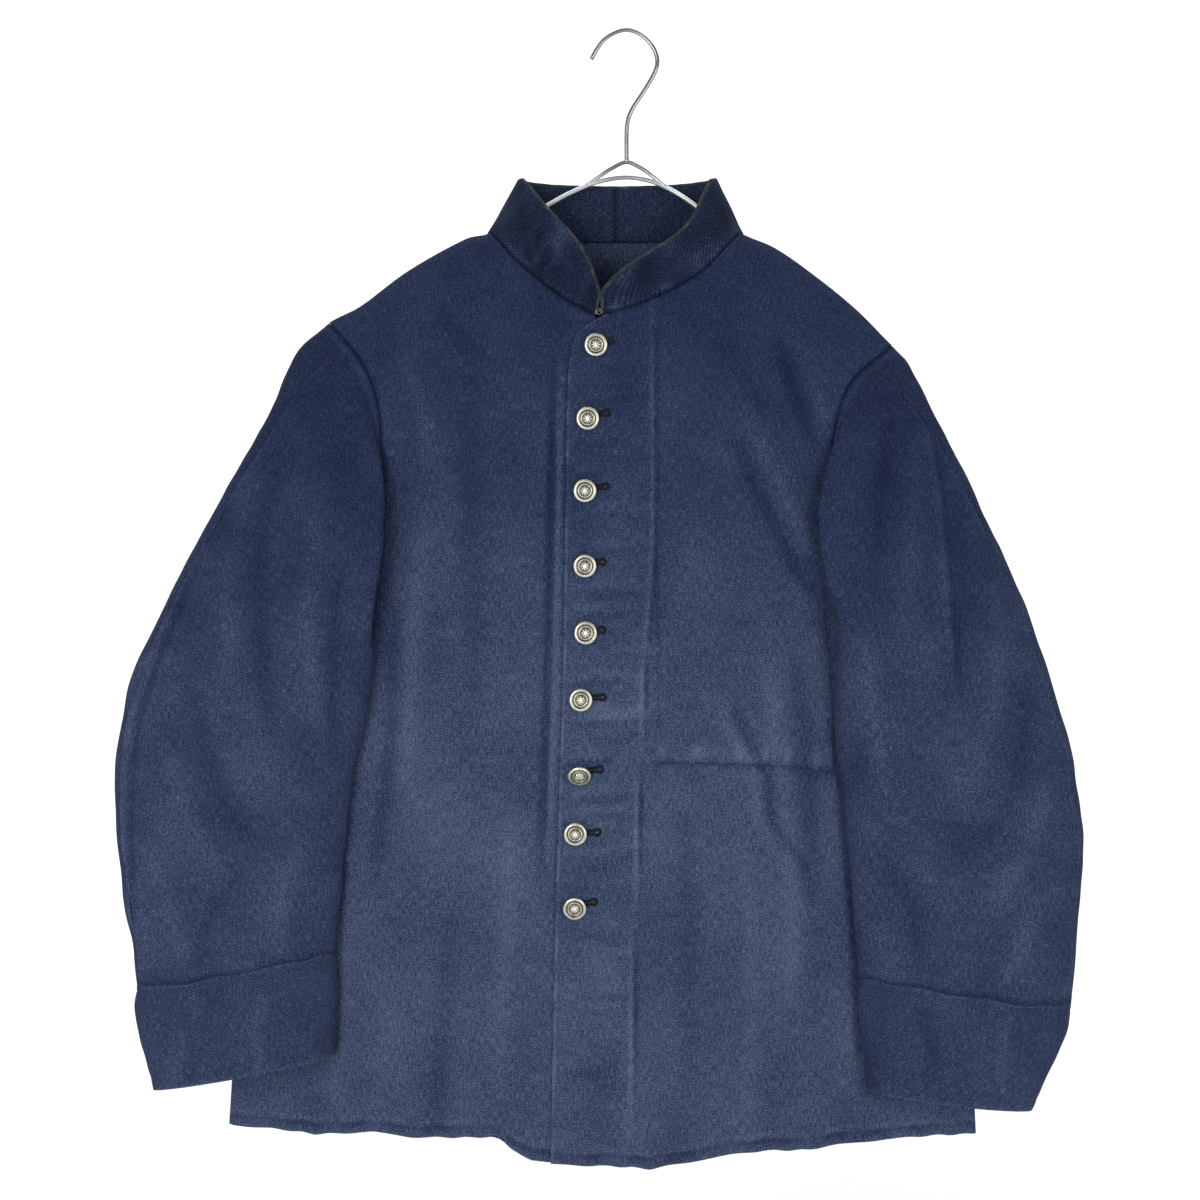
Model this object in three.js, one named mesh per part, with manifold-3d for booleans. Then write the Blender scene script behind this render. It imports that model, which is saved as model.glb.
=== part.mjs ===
import * as THREE from 'three';
import { mergeVertices } from 'three/addons/utils/BufferGeometryUtils.js';
import Module from 'manifold-3d';

// A stand-collar work jacket of blue twill, buttoned and hanging on a wire hanger.
// Millimetres, +Z up, the front faces -Y. The origin is the inside top of the hanger's hook.
// Left and right are the wearer's, so the right front is at -X.

// Cloth and seams
const CLOTH = 1.5;
const COLLAR_CLOTH = 1.4;
const SLEEVE_CLOTH = 1.1;
const CUFF_CLOTH = 2.2;
const SEAM = 0.3;
const TRIM = 0.35;
const SLIVER = 0.03;
const LAP = 2.4;
const LAP_FULL_X = 4;
const LAP_END_X = 44;

// How deep the hanging body stands off the hanger's plane
const FRONT_DEPTH = 45;
const BACK_DEPTH = 28;
const SIDE_ROUND = 6;
const DEPTH_POWER = 1.4;
const FRONT_FALL = 90;
const BACK_FALL = 32;
const FRONT_SPREAD = 1.5;
const FOLD_FADE = 0.3;
const FOLD_DEPTH = 20;

// Levels up a panel: hem, hip, waist, underarm, middle armhole, shoulder tip, neck point
const UNDERARM = 3;
const SHOULDER = 5;
const NECK = 6;
const ARMHOLE_FOOT = 3.4;

// Ridge of the shoulders, and the roof it would make across the neck: x, z
const CREST = [
  [-260, -246], [-223, -218], [-200, -206], [-165, -180], [-120, -155], [-103, -151],
  [-88, -140], [-60, -122], [-8, -106], [44, -122], [72, -140], [86, -151], [111, -162],
  [140, -182], [172, -208], [199, -235], [240, -272],
];

// Side folds of the body: z, x at the right side, x at the left side
const SIDES = [
  [-850, -300, 263], [-700, -290, 256], [-560, -275, 247], [-396, -258, 236],
  [-372, -262, 240], [-340, -278, 255], [-300, -302, 278], [-220, -332, 306], [-100, -360, 330],
];

// Edges of the panels on each side: level, x, z
const RIGHT = {
  side: [[0, 0, -820], [1, 0, -700], [2, 0, -550], [3, 0, -396]],
  armhole: [
    [3, -258, -396], [3.2, -231, -403], [3.4, -206, -404], [3.6, -191, -390], [3.8, -184, -364],
    [4, -182, -336], [4.4, -184, -284], [4.7, -197, -249], [5, -223, -218],
  ],
  backArmhole: [
    [3, -258, -396], [3.4, -216, -372], [4, -196, -318], [4.5, -200, -262], [5, -223, -218],
  ],
  shoulder: [[5, -223, 0], [5.5, -165, 0], [6, -105, 0]],
  middle: [
    [0, -10, -836], [1, -9, -720], [2, -8, -596], [3, -6, -466], [4, -6, -342], [4.6, -8, -260],
    [5, -24, -217],
  ],
  clear: [
    [-850, -300], [-560, -275], [-425, -260], [-408, -236], [-396, -205], [-380, -188], [-335, -182],
    [-285, -184], [-250, -197], [-218, -223],
  ],
  neckline: [[5, -24, -217], [5.35, -50, -202], [5.7, -80, -177], [6, -102, -152]],
};
const LEFT = {
  side: [[0, 0, -826], [1, 0, -700], [2, 0, -550], [3, 0, -400]],
  armhole: [
    [3, 236, -400], [3.2, 209, -407], [3.4, 184, -408], [3.6, 166, -394], [3.8, 155, -369],
    [4, 151, -344], [4.4, 154, -296], [4.7, 167, -263], [5, 199, -235],
  ],
  backArmhole: [[3, 236, -400], [3.4, 184, -388], [4, 172, -328], [4.5, 174, -276], [5, 199, -235]],
  shoulder: [[5, 199, 0], [5.5, 140, 0], [6, 88, 0]],
  middle: [
    [0, -56, -838], [1, -54, -722], [2, -51, -600], [3, -47, -474], [4, -45, -348], [4.55, -43, -258],
    [4.8, -37, -231], [5, -18, -217],
  ],
  clear: [
    [-850, 263], [-560, 247], [-430, 238], [-415, 212], [-403, 178], [-388, 158], [-344, 151],
    [-296, 154], [-263, 167], [-235, 199],
  ],
  neckline: [[5, -18, -217], [5.35, 16, -206], [5.7, 56, -183], [6, 85, -152]],
};

// Largest folds: start x, z, end x, z, half width, height towards the front
const FRONT_FOLDS = [
  [-150, -300, -128, -640, 26, 5],
  [-175, -560, -190, -850, 30, 6],
  [-100, -640, -92, -850, 24, -5],
  [128, -215, 158, -300, 16, 6],
  [92, -270, 150, -410, 20, 6],
  [104, -440, 130, -760, 24, 6],
  [190, -620, 200, -850, 30, 6],
  [60, -680, 62, -850, 26, -5],
];
const BACK_FOLDS = [
  [-110, -330, -140, -850, 36, 6],
  [95, -330, 120, -850, 36, 6],
  [-10, -560, -10, -850, 30, -5],
];

// Sleeves: share of the length, outer fold x y z, inner fold x y z,
// reach of the front and of the back towards the body, depth of the front and of the back
const RIGHT_SLEEVE = [
  [0, -223, 0, -218, -206, -20, -404, 20, 0, 18, 10],
  [0.1, -245, -4, -239, -196, -34, -428, 32, -4, 24, 11],
  [0.25, -266, -10, -284, -190, -42, -452, 26, 0, 27, 12],
  [0.4, -301, -18, -351, -188, -45, -478, 14, 0, 27, 13],
  [0.55, -336, -24, -418, -192, -46, -512, 4, 0, 25, 14],
  [0.7, -366, -28, -485, -202, -46, -556, 0, 0, 24, 15],
  [0.8, -378, -30, -548, -207, -46, -592, 0, 0, 24, 15],
  [0.9, -374, -32, -618, -211, -45, -636, 0, 0, 24, 15],
  [1, -361, -32, -710, -216, -44, -687, 0, 0, 23, 15],
];
const RIGHT_CUFF = [
  [1, -361, -32, -710, -216, -44, -687, 0, 0, 23, 15],
  [1.35, -363, -32, -731, -214, -42, -710, 0, 0, 25, 16],
  [2, -349, -32, -786, -215, -42, -761, 0, 0, 25, 16],
];
const LEFT_SLEEVE = [
  [0, 199, 0, -235, 184, -20, -408, -22, 0, 18, 10],
  [0.1, 211, -3, -249, 166, -34, -434, -34, 4, 24, 11],
  [0.25, 228, -10, -284, 158, -42, -456, -28, 0, 27, 12],
  [0.4, 260, -18, -351, 154, -45, -482, -16, 0, 27, 13],
  [0.55, 289, -24, -418, 153, -46, -514, -5, 0, 25, 14],
  [0.7, 313, -28, -485, 158, -46, -560, 0, 0, 24, 15],
  [0.8, 330, -30, -548, 163, -46, -600, 0, 0, 24, 15],
  [0.9, 336, -32, -614, 167, -45, -650, 0, 0, 24, 15],
  [1, 327, -32, -724, 171, -44, -705, 0, 0, 23, 15],
];
const LEFT_CUFF = [
  [1, 327, -32, -724, 171, -44, -705, 0, 0, 23, 15],
  [1.35, 323, -32, -746, 171, -42, -730, 0, 0, 25, 16],
  [2, 298, -32, -801, 177, -42, -787, 0, 0, 25, 16],
];
const FRONT_BLEND = 0.45;
const BACK_BLEND = 0.16;
const SEAM_ROLL = 2;
const SEAM_ROLL_END = 0.03;
const SLEEVE_CLEAR = 3;
const CLEAR_SOFT = 1.5;
const CLEAR_RAMP = 0.04;
const SLEEVE_ROUND = 0.7;
const FRONT_STEPS = 8;
const BACK_STEPS = 12;
const LOW_STEPS = 2;
const SLEEVE_FOLDS = [
  [0.42, 0.62, 0.55, 0.2, 0.09, 4],
  [0.66, 0.3, 0.6, 0.75, 0.05, 4],
  [0.84, 0.7, 0.95, 0.3, 0.05, 3],
];

// Collar rise from the neckline to its top edge: share from neck point to front end, x, y, z
const RIGHT_RISE = [[0, 23, -2, 40], [0.5, 19, -4, 37], [0.75, 13, -5, 29], [1, 3, -4, 15]];
const LEFT_RISE = [
  [0, -20, -2, 41], [0.1, -18, -3, 36], [0.2, -17, -3, 29], [0.35, -18, -4, 26], [0.5, -17.5, -4, 25.5],
  [0.75, -11, -5, 23], [1, 0, -4, 16],
];
const BACK_RISE = [0, -8, 38];
const COLLAR_STEPS = 6;
const NECK_DIP = 1;
const COLLAR_GAP = 1.3;
const BINDING_RADIUS = 1.9;
const BINDING_GAP = 0.7;

// Buttons: x, z, turned down, turned sideways, in degrees
const BUTTONS = [
  [-23, -239, 0, 4], [-29, -293, 3, -3], [-31, -346, 2, 2], [-31, -401, 4, 0],
  [-30.5, -450, 2, -4], [-34, -499, 3, 3], [-35, -553, 36, 0], [-38, -597, 4, -5],
  [-38.5, -651, 12, 2],
];
const BUTTON_RADIUS = 9;
const BUTTON_STAND = 0.6;
const SHANK_RADIUS = 2.4;
const SHANK_TOP = 1.2;
const BUTTON_FACE = [[7.8, 1.5], [BUTTON_RADIUS, 3], [8.4, 3.9], [7, 3.4], [4.2, 4.6], [0, 5.4]];
const BUTTON_SIDES = 12;
const BUTTON_GAP = 0.45;

// The pocket takes these columns and rows of the left front's own points
const POCKET_CLOTH = 1;
const POCKET_COLUMNS = [6, 13];
const POCKET_ROWS = [8, 14];

// Hook and eye at the foot of the collar
const EYE_RADIUS = 2.6;
const EYE_WIRE = 0.6;
const EYE_HEIGHT = 0.1;
const EYE_FORWARD = 2.5;
const EYE_LIFT = 1;

// Hanger wire: x, z
const WIRE_RADIUS = 1.65;
const HOOK = [
  [-26.5, -20.5], [-22.4, -13], [-16.8, -5.6], [-8.5, -0.4], [0, 1.65], [8.7, -0.8], [16.4, -7], [21.5, -15],
  [23, -23.5], [20.2, -32], [13, -44.3], [6, -54.8], [1.5, -64], [0, -74], [0, -99],
];
const FORK = [
  [-30, -115], [-21, -108.5], [-10, -101.5], [0, -97.5], [10, -101.5], [20, -108.5], [29, -116],
];
const ARMS = [
  [-212, -219], [-198, -212], [-165, -186.5], [-125, -166], [-103, -158.5], [-80, -143.5],
  [-61, -131], [-42, -120.5], [-22, -112.5], [0, -109], [20, -112.5], [38, -121], [54, -132],
  [70, -145], [86, -159], [111, -170.5], [140, -189], [172, -214], [188, -229],
];

const BLUE = new THREE.MeshStandardMaterial({ color: 0x2b3348, roughness: 0.95, metalness: 0 });
const DARK_BLUE = new THREE.MeshStandardMaterial({ color: 0x1b2130, roughness: 0.95, metalness: 0 });
const BLACK = new THREE.MeshStandardMaterial({ color: 0x191b1d, roughness: 0.8, metalness: 0 });
const PEWTER = new THREE.MeshStandardMaterial({ color: 0x9a968a, roughness: 0.35, metalness: 1 });
const STEEL = new THREE.MeshStandardMaterial({ color: 0xc9ccd0, roughness: 0.2, metalness: 1 });

const wasm = await Module();
wasm.setup();
const jacket = new THREE.Group();

// A smooth curve through rows of a parameter followed by the values there.
function through(rows) {
  const slope = (i, c) => {
    const before = rows[Math.max(i - 1, 0)];
    const after = rows[Math.min(i + 1, rows.length - 1)];
    return (after[c] - before[c]) / (after[0] - before[0]);
  };
  return (at) => {
    const t = Math.min(Math.max(at, rows[0][0]), rows[rows.length - 1][0]);
    let i = 0;
    while (i < rows.length - 2 && t > rows[i + 1][0]) i += 1;
    const span = rows[i + 1][0] - rows[i][0];
    const s = (t - rows[i][0]) / span;
    return rows[i].slice(1).map((value, k) => {
      const rise = (rows[i + 1][k + 1] - value) * s * s * (3 - 2 * s);
      return value + rise + span * s * (1 - s) * ((1 - s) * slope(i, k + 1) - s * slope(i + 1, k + 1));
    });
  };
}

const clamp01 = (t) => Math.min(Math.max(t, 0), 1);
const smooth = (t) => clamp01(t) ** 2 * (3 - 2 * clamp01(t));

// Height of soft folds at a place, each a ridge along a line that fades at both ends.
function folds(list, a, b) {
  let height = 0;
  for (const [a0, b0, a1, b1, width, rise] of list) {
    const length = Math.hypot(a1 - a0, b1 - b0);
    const along = ((a - a0) * (a1 - a0) + (b - b0) * (b1 - b0)) / length;
    const across = ((a - a0) * (b1 - b0) - (b - b0) * (a1 - a0)) / length;
    const start = smooth(along / length / FOLD_FADE + FOLD_FADE);
    const end = smooth((length - along) / length / FOLD_FADE + FOLD_FADE);
    const fade = start * end;
    height += rise * fade * Math.exp(-((across / width) ** 2));
  }
  return height;
}

const crest = through(CREST);
const sides = through(SIDES);

// How far the body's cloth stands in front of or behind the hanger's plane.
function bodyDepth(x, z, full, fall, foldList) {
  const [right, left] = sides(z);
  const across = (2 * x - right - left) / (left - right);
  const open = Math.max(1 - across * across, 0);
  const fromSide = Math.min(Math.max(1 - Math.abs(across), 0) * (left - right) / 2 / SIDE_ROUND, 1);
  const round = SIDE_ROUND * Math.sqrt(1 - (1 - fromSide) ** 2);
  const below = Math.max(crest(x)[0] - z, 0);
  const shape = round + (full - SIDE_ROUND) * open ** DEPTH_POWER;
  const depth = shape * Math.sqrt(1 - Math.exp(-below / fall));
  return depth + folds(foldList, x, z) * smooth(depth / FOLD_DEPTH);
}

const frontY = (x, z) => -bodyDepth(x, z, FRONT_DEPTH, FRONT_FALL, FRONT_FOLDS);
const backY = (x, z) => bodyDepth(x, z, BACK_DEPTH, BACK_FALL, BACK_FOLDS);

// Outer edge of a body panel at a level: side seam, then armhole, then shoulder.
function outerEdge(side, armhole, sideIndex) {
  const seam = through(side.side);
  const hole = through(armhole);
  const ridge = through(side.shoulder);
  return (v) => {
    if (v <= UNDERARM) return [sides(seam(v)[1])[sideIndex], seam(v)[1]];
    if (v <= SHOULDER) return hole(v);
    return [ridge(v)[0], crest(ridge(v)[0])[0]];
  };
}

function innerEdge(side) {
  const middle = through(side.middle);
  const neckline = through(side.neckline);
  return (v) => (v <= SHOULDER ? middle(v) : neckline(v));
}

// A front panel: u runs from the side to the middle, v up the levels.
function frontPanel(side, sideIndex, lapped) {
  const outer = outerEdge(side, side.armhole, sideIndex);
  const inner = innerEdge(side);
  return (u, v) => {
    const [xa, za] = outer(v);
    const [xb, zb] = inner(v);
    const share = u ** FRONT_SPREAD;
    const x = xa + (xb - xa) * share;
    const z = za + (zb - za) * share;
    const lift = lapped ? LAP * smooth((LAP_END_X - x) / (LAP_END_X - LAP_FULL_X)) : 0;
    return new THREE.Vector3(x, frontY(x, z) - lift, z);
  };
}

const frontRight = frontPanel(RIGHT, 0, false);
const frontLeft = frontPanel(LEFT, 1, true);

const backRightEdge = outerEdge(RIGHT, RIGHT.backArmhole, 0);
const backLeftEdge = outerEdge(LEFT, LEFT.backArmhole, 1);

// The back panel: u runs from the right side to the left, v up the levels.
function back(u, v) {
  const [xa, za] = backRightEdge(v);
  const [xb, zb] = backLeftEdge(v);
  const share = (1 - Math.cos(Math.PI * u)) / 2;
  const x = xa + (xb - xa) * share;
  const dip = NECK_DIP * 4 * share * (1 - share) * smooth(v - SHOULDER);
  const z = za + (zb - za) * share - dip;
  return new THREE.Vector3(x, backY(x, z), z);
}

// A point of a sleeve or a cuff: turn 0 to 1 runs down the front, 1 to 2 back up behind.
function sleeveRing(rows) {
  const ring = through(rows);
  return (turn, r) => {
    const [xo, yo, zo, xi, yi, zi, reachFront, reachBack, deepFront, deepBack] = ring(r);
    const front = turn <= 1;
    const q = front ? turn : 2 - turn;
    const bow = (1 - Math.cos(Math.PI * q)) / 2;
    const w = front ? bow : 0.6 * q + 0.4 * bow;
    const swell = Math.sin(Math.PI * q) ** SLEEVE_ROUND || 0;
    const reach = (front ? reachFront : reachBack) * Math.sin(Math.PI * w);
    const deep = front ? -deepFront - folds(SLEEVE_FOLDS, r, q) : deepBack;
    return new THREE.Vector3(
      xo + (xi - xo) * w + reach,
      yo + (yi - yo) * w + deep * swell,
      zo + (zi - zo) * w,
    );
  };
}

// The armhole as one loop, by the same turn as the sleeve: where it lies on a panel.
function onArmhole(turn) {
  if (turn <= 1) return { front: true, v: SHOULDER - (SHOULDER - ARMHOLE_FOOT) * turn };
  const step = (turn - 1) * BACK_STEPS;
  const low = step / LOW_STEPS;
  if (low <= 1) return { front: true, v: ARMHOLE_FOOT - (ARMHOLE_FOOT - UNDERARM) * low };
  const high = (step - LOW_STEPS) / (BACK_STEPS - LOW_STEPS);
  return { front: false, v: UNDERARM + (SHOULDER - UNDERARM) * high };
}

function armholeLoop(frontPart, backU) {
  return (turn) => {
    const { front, v } = onArmhole(turn);
    return front ? frontPart(0, v) : back(backU, v);
  };
}

const rightArmhole = armholeLoop(frontRight, 0);
const leftArmhole = armholeLoop(frontLeft, 1);

// A whole sleeve that starts on the armhole, hangs clear of the front and ends at the cuff seam.
function sleeve(rows, armhole, outOf, side, sideIndex) {
  const ring = sleeveRing(rows);
  const edge = through(side.clear);
  const inwards = sideIndex === 0 ? 1 : -1;
  const clear = (point, r) => {
    const inside = smooth(((point.x - edge(point.z)[0]) * inwards + 4) / 8);
    const over = point.y - frontY(point.x, point.z) + SLEEVE_CLEAR;
    const push = CLEAR_SOFT * Math.log(1 + Math.exp(over / CLEAR_SOFT));
    return point.setY(point.y - push * inside * smooth(r / CLEAR_RAMP));
  };
  return (turn, r) => {
    const t = ((turn % 2) + 2) % 2;
    const point = ring(t, r);
    const blend = (1 - Math.min(r / (t <= 1 ? FRONT_BLEND : BACK_BLEND), 1)) ** 2;
    if (blend > 0) {
      const out = outOf(t);
      const start = armhole(t).addScaledVector(out, SEAM);
      point.add(start.sub(ring(t, 0)).multiplyScalar(blend));
      const roll = (r / SEAM_ROLL_END) * Math.exp(1 - r / SEAM_ROLL_END);
      point.addScaledVector(out, SEAM_ROLL * roll);
    }
    return clear(point, r);
  };
}

// Direction in the body's cloth that points out of the panel at the armhole.
function armholeOut(frontPart, backU) {
  return (turn) => {
    const { front, v } = onArmhole(turn);
    const panel = front ? frontPart : back;
    const u = front ? 0 : backU;
    const near = Math.min(Math.max(v, UNDERARM + 0.004), SHOULDER - 0.004);
    const along = panel(u, near + 0.003).sub(panel(u, near - 0.003));
    const inwards = panel(Math.abs(u - 0.01), near).sub(panel(u, near));
    const normal = new THREE.Vector3().crossVectors(along, inwards);
    const out = new THREE.Vector3().crossVectors(along, normal).normalize();
    return out.dot(inwards) > 0 ? out.negate() : out;
  };
}

const rightOut = armholeOut(frontRight, 0);
const leftOut = armholeOut(frontLeft, 1);
const rightSleeve = sleeve(RIGHT_SLEEVE, rightArmhole, rightOut, RIGHT, 0);
const leftSleeve = sleeve(LEFT_SLEEVE, leftArmhole, leftOut, LEFT, 1);
const rightCuff = sleeveRing(RIGHT_CUFF);
const leftCuff = sleeveRing(LEFT_CUFF);

// Neckline from the right front end round the back to the left front end, u from 0 to 3.
function neckline(u) {
  if (u <= 1) return frontRight(1, SHOULDER + u);
  if (u <= 2) return back(u - 1, NECK);
  return frontLeft(1, NECK + 2 - u);
}

const rightRise = through(RIGHT_RISE);
const leftRise = through(LEFT_RISE);

// The collar stands on the neckline: v runs from its base to its top edge.
function collar(u, v) {
  const base = neckline(u);
  let rise;
  if (u <= 1) rise = rightRise(1 - u);
  else if (u >= 2) rise = leftRise(u - 2);
  else {
    const share = u - 1;
    const end = share < 0.5 ? rightRise(0) : leftRise(0);
    const middle = Math.sin(Math.PI * share) ** 2 || 0;
    rise = end.map((value, k) => value + (BACK_RISE[k] - value) * middle);
  }
  const way = new THREE.Vector3(...rise);
  const length = way.length();
  return base.addScaledVector(way.normalize(), COLLAR_GAP + (length - COLLAR_GAP) * v);
}

const NUDGE = 0.002;

// Unit normal of a surface, taken inside its edges.
function normalOf(point, u, v, [u0, u1], [v0, v1]) {
  const du = (u1 - u0) * NUDGE;
  const dv = (v1 - v0) * NUDGE;
  const a = point(Math.min(u + du, u1), v).sub(point(Math.max(u - du, u0), v));
  const b = point(u, Math.min(v + dv, v1)).sub(point(u, Math.max(v - dv, v0)));
  return a.cross(b).normalize();
}

// A wall of cloth on a surface: outer face on the surface, inner face one thickness inside it.
function wall(point, us, vs, thickness, options = {}) {
  const { closed = false, out, drawn = [], pulled = SEAM / 2 } = options;
  const { tilt = null, inset = 0, firstAsSecond = false } = options;
  const uEnds = closed ? [-Infinity, Infinity] : [us[0], us[us.length - 1]];
  const uSpan = closed ? [0, 2] : uEnds;
  const vEnds = [vs[0], vs[vs.length - 1]];
  const columns = us.length;
  const rows = vs.length;
  const normalAt = (u, v) => {
    if (!closed) return normalOf(point, u, v, uEnds, vEnds);
    const step = (uSpan[1] - uSpan[0]) * NUDGE;
    return normalOf(point, u, v, [u - 250 * step, u + 250 * step], vEnds);
  };
  const middle = normalAt(us[Math.floor(columns / 2)], vs[Math.floor(rows / 2)]);
  const sign = middle.dot(out) < 0 ? -1 : 1;
  const outer = [];
  const inner = [];
  for (const v of vs) {
    for (const u of us) {
      const place = point(u, v);
      let normal = normalAt(u, firstAsSecond && v === vs[0] ? vs[1] : v).multiplyScalar(sign);
      if (tilt) normal = tilt(u, v, normal);
      place.addScaledVector(normal, -inset);
      outer.push(place);
      inner.push(place.clone().addScaledVector(normal, -thickness));
    }
  }
  const draw = (list) => {
    const at = (i, j) => list[j * columns + i];
    const pull = (p, towards) => p.addScaledVector(towards.clone().sub(p).normalize(), pulled);
    for (let j = 0; j < rows; j += 1) {
      if (drawn.includes('u0')) pull(at(0, j), at(1, j));
      if (drawn.includes('u1')) pull(at(columns - 1, j), at(columns - 2, j));
    }
    for (let i = 0; i < columns; i += 1) {
      if (drawn.includes('v0')) pull(at(i, 0), at(i, 1));
      if (drawn.includes('v1')) pull(at(i, rows - 1), at(i, rows - 2));
    }
  };
  draw(outer);
  draw(inner);
  const count = outer.length;
  const faces = [];
  const quad = (a, b, c, d) => faces.push(a, b, c, a, c, d);
  const across = closed ? columns : columns - 1;
  for (let j = 0; j < rows - 1; j += 1) {
    for (let i = 0; i < across; i += 1) {
      const k = (i + 1) % columns;
      const [a, b, c, d] = [j * columns + i, j * columns + k, (j + 1) * columns + k, (j + 1) * columns + i];
      quad(a, b, c, d);
      quad(count + a, count + d, count + c, count + b);
    }
  }
  for (let i = 0; i < across; i += 1) {
    const k = (i + 1) % columns;
    const last = (rows - 1) * columns;
    quad(i, count + i, count + k, k);
    quad(last + i, last + k, count + last + k, count + last + i);
  }
  for (let j = 0; j < rows - 1 && !closed; j += 1) {
    const [a, b] = [j * columns, (j + 1) * columns];
    quad(a, b, count + b, count + a);
    quad(b + columns - 1, a + columns - 1, count + a + columns - 1, count + b + columns - 1);
  }
  const positions = [...outer, ...inner].flatMap((p) => p.toArray());
  if (sign < 0) {
    for (let f = 0; f < faces.length; f += 3) [faces[f + 1], faces[f + 2]] = [faces[f + 2], faces[f + 1]];
  }
  const geometry = new THREE.BufferGeometry();
  geometry.setAttribute('position', new THREE.Float32BufferAttribute(positions, 3));
  geometry.setIndex(faces);
  geometry.computeVertexNormals();
  return geometry;
}

// The same wall grown on every side, to cut a neighbour clear of it.
function grown(point, us, vs, thickness, options) {
  const inset = (options.inset || 0) - TRIM;
  const drawn = ['u0', 'u1', 'v0', 'v1'];
  return solid(wall(point, us, vs, thickness + 2 * TRIM, { ...options, inset, drawn, pulled: -TRIM }));
}

function solid(geometry) {
  const bare = new THREE.BufferGeometry().setAttribute('position', geometry.getAttribute('position'));
  bare.setIndex(geometry.getIndex());
  const merged = mergeVertices(bare, 1e-3);
  const vertProperties = merged.attributes.position.array;
  const triVerts = new Uint32Array(merged.index.array);
  return new wasm.Manifold(new wasm.Mesh({ numProp: 3, vertProperties, triVerts }));
}

function surface(body) {
  const mesh = body.getMesh();
  const geometry = new THREE.BufferGeometry();
  geometry.setAttribute('position', new THREE.BufferAttribute(mesh.vertProperties, 3));
  geometry.setIndex(new THREE.BufferAttribute(mesh.triVerts, 1));
  geometry.computeVertexNormals();
  return geometry;
}

// A piece with its neighbours cut clear, kept as its one main body.
function trimmed(geometry, neighbours) {
  const cut = neighbours.reduce((body, other) => body.subtract(other), solid(geometry));
  const bodies = cut.decompose().sort((a, b) => b.volume() - a.volume());
  return surface(bodies[0].simplify(SLIVER));
}

function addMesh(name, geometry, material) {
  const mesh = new THREE.Mesh(geometry, material);
  mesh.name = name;
  jacket.add(mesh);
  return mesh;
}

function evenly(from, to, steps) {
  return Array.from({ length: steps + 1 }, (_, i) => from + ((to - from) * i) / steps);
}

const FORWARD = new THREE.Vector3(0, -1, 0);
const BACKWARD = new THREE.Vector3(0, 1, 0);

// Rows are close where the armhole and the shoulder turn.
const BODY_ROWS = [
  ...evenly(0, UNDERARM, 10),
  ...evenly(UNDERARM, SHOULDER, 10).slice(1),
  ...evenly(SHOULDER, NECK, COLLAR_STEPS).slice(1),
];

// Side seams and shoulder seams are cut square to the hanger's plane.
const squareSeam = (ends) => (u, v, normal) => {
  const seam = ends.includes(u) && (v <= UNDERARM || v >= SHOULDER);
  return seam ? normal.setY(0).normalize() : normal;
};

const LEFT_COLUMNS = evenly(0, 1, 14);
const frontOptions = { out: FORWARD, drawn: ['u0'], tilt: squareSeam([0]) };
const backOptions = { out: BACKWARD, drawn: ['u0', 'u1'], tilt: squareSeam([0, 1]) };
const FRONT_RIGHT = [frontRight, evenly(0, 1, 12), BODY_ROWS, CLOTH, frontOptions];
const FRONT_LEFT = [frontLeft, LEFT_COLUMNS, BODY_ROWS, CLOTH, frontOptions];
const BACK = [back, evenly(0, 1, 20), BODY_ROWS, CLOTH, backOptions];
addMesh('front_right', wall(...FRONT_RIGHT), BLUE);
addMesh('front_left', wall(...FRONT_LEFT), BLUE);
addMesh('back', wall(...BACK), BLUE);
const grownRight = grown(...FRONT_RIGHT);
const grownLeft = grown(...FRONT_LEFT);
const grownBack = grown(...BACK);

const SLEEVE_RINGS = evenly(0, 1, 16).map((t) => t ** 1.3);
const foreTurns = [...evenly(1 / FRONT_STEPS, 1, FRONT_STEPS - 1), 1 + 1 / BACK_STEPS];
const underTurns = [...evenly(1 + 1 / BACK_STEPS, 2, BACK_STEPS - 1), 2 + 1 / FRONT_STEPS];

const CUFF_TURNS = evenly(0, 2, 24).slice(0, -1);
const CUFF_RINGS = [1, 1.18, 1.45, 2];
for (const [name, point, cuff, front] of [
  ['right', rightSleeve, rightCuff, grownRight],
  ['left', leftSleeve, leftCuff, grownLeft],
]) {
  const around = (turn, r) => cuff(((turn % 2) + 2) % 2, r);
  const band = [around, CUFF_TURNS, CUFF_RINGS, CUFF_CLOTH, { closed: true, out: BACKWARD, drawn: ['v0'] }];
  const common = { drawn: ['u0', 'u1', 'v1'], firstAsSecond: true };
  const upper = [point, foreTurns, SLEEVE_RINGS, SLEEVE_CLOTH, { ...common, out: FORWARD }];
  const under = [point, underTurns, SLEEVE_RINGS, SLEEVE_CLOTH, { ...common, out: BACKWARD }];
  addMesh(`cuff_${name}`, wall(...band), BLUE);
  addMesh(`sleeve_${name}_upper`, trimmed(wall(...upper), [front, grownBack]), BLUE);
  const beside = [front, grownBack, grown(...upper)];
  addMesh(`sleeve_${name}_under`, trimmed(wall(...under), beside), BLUE);
}

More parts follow.
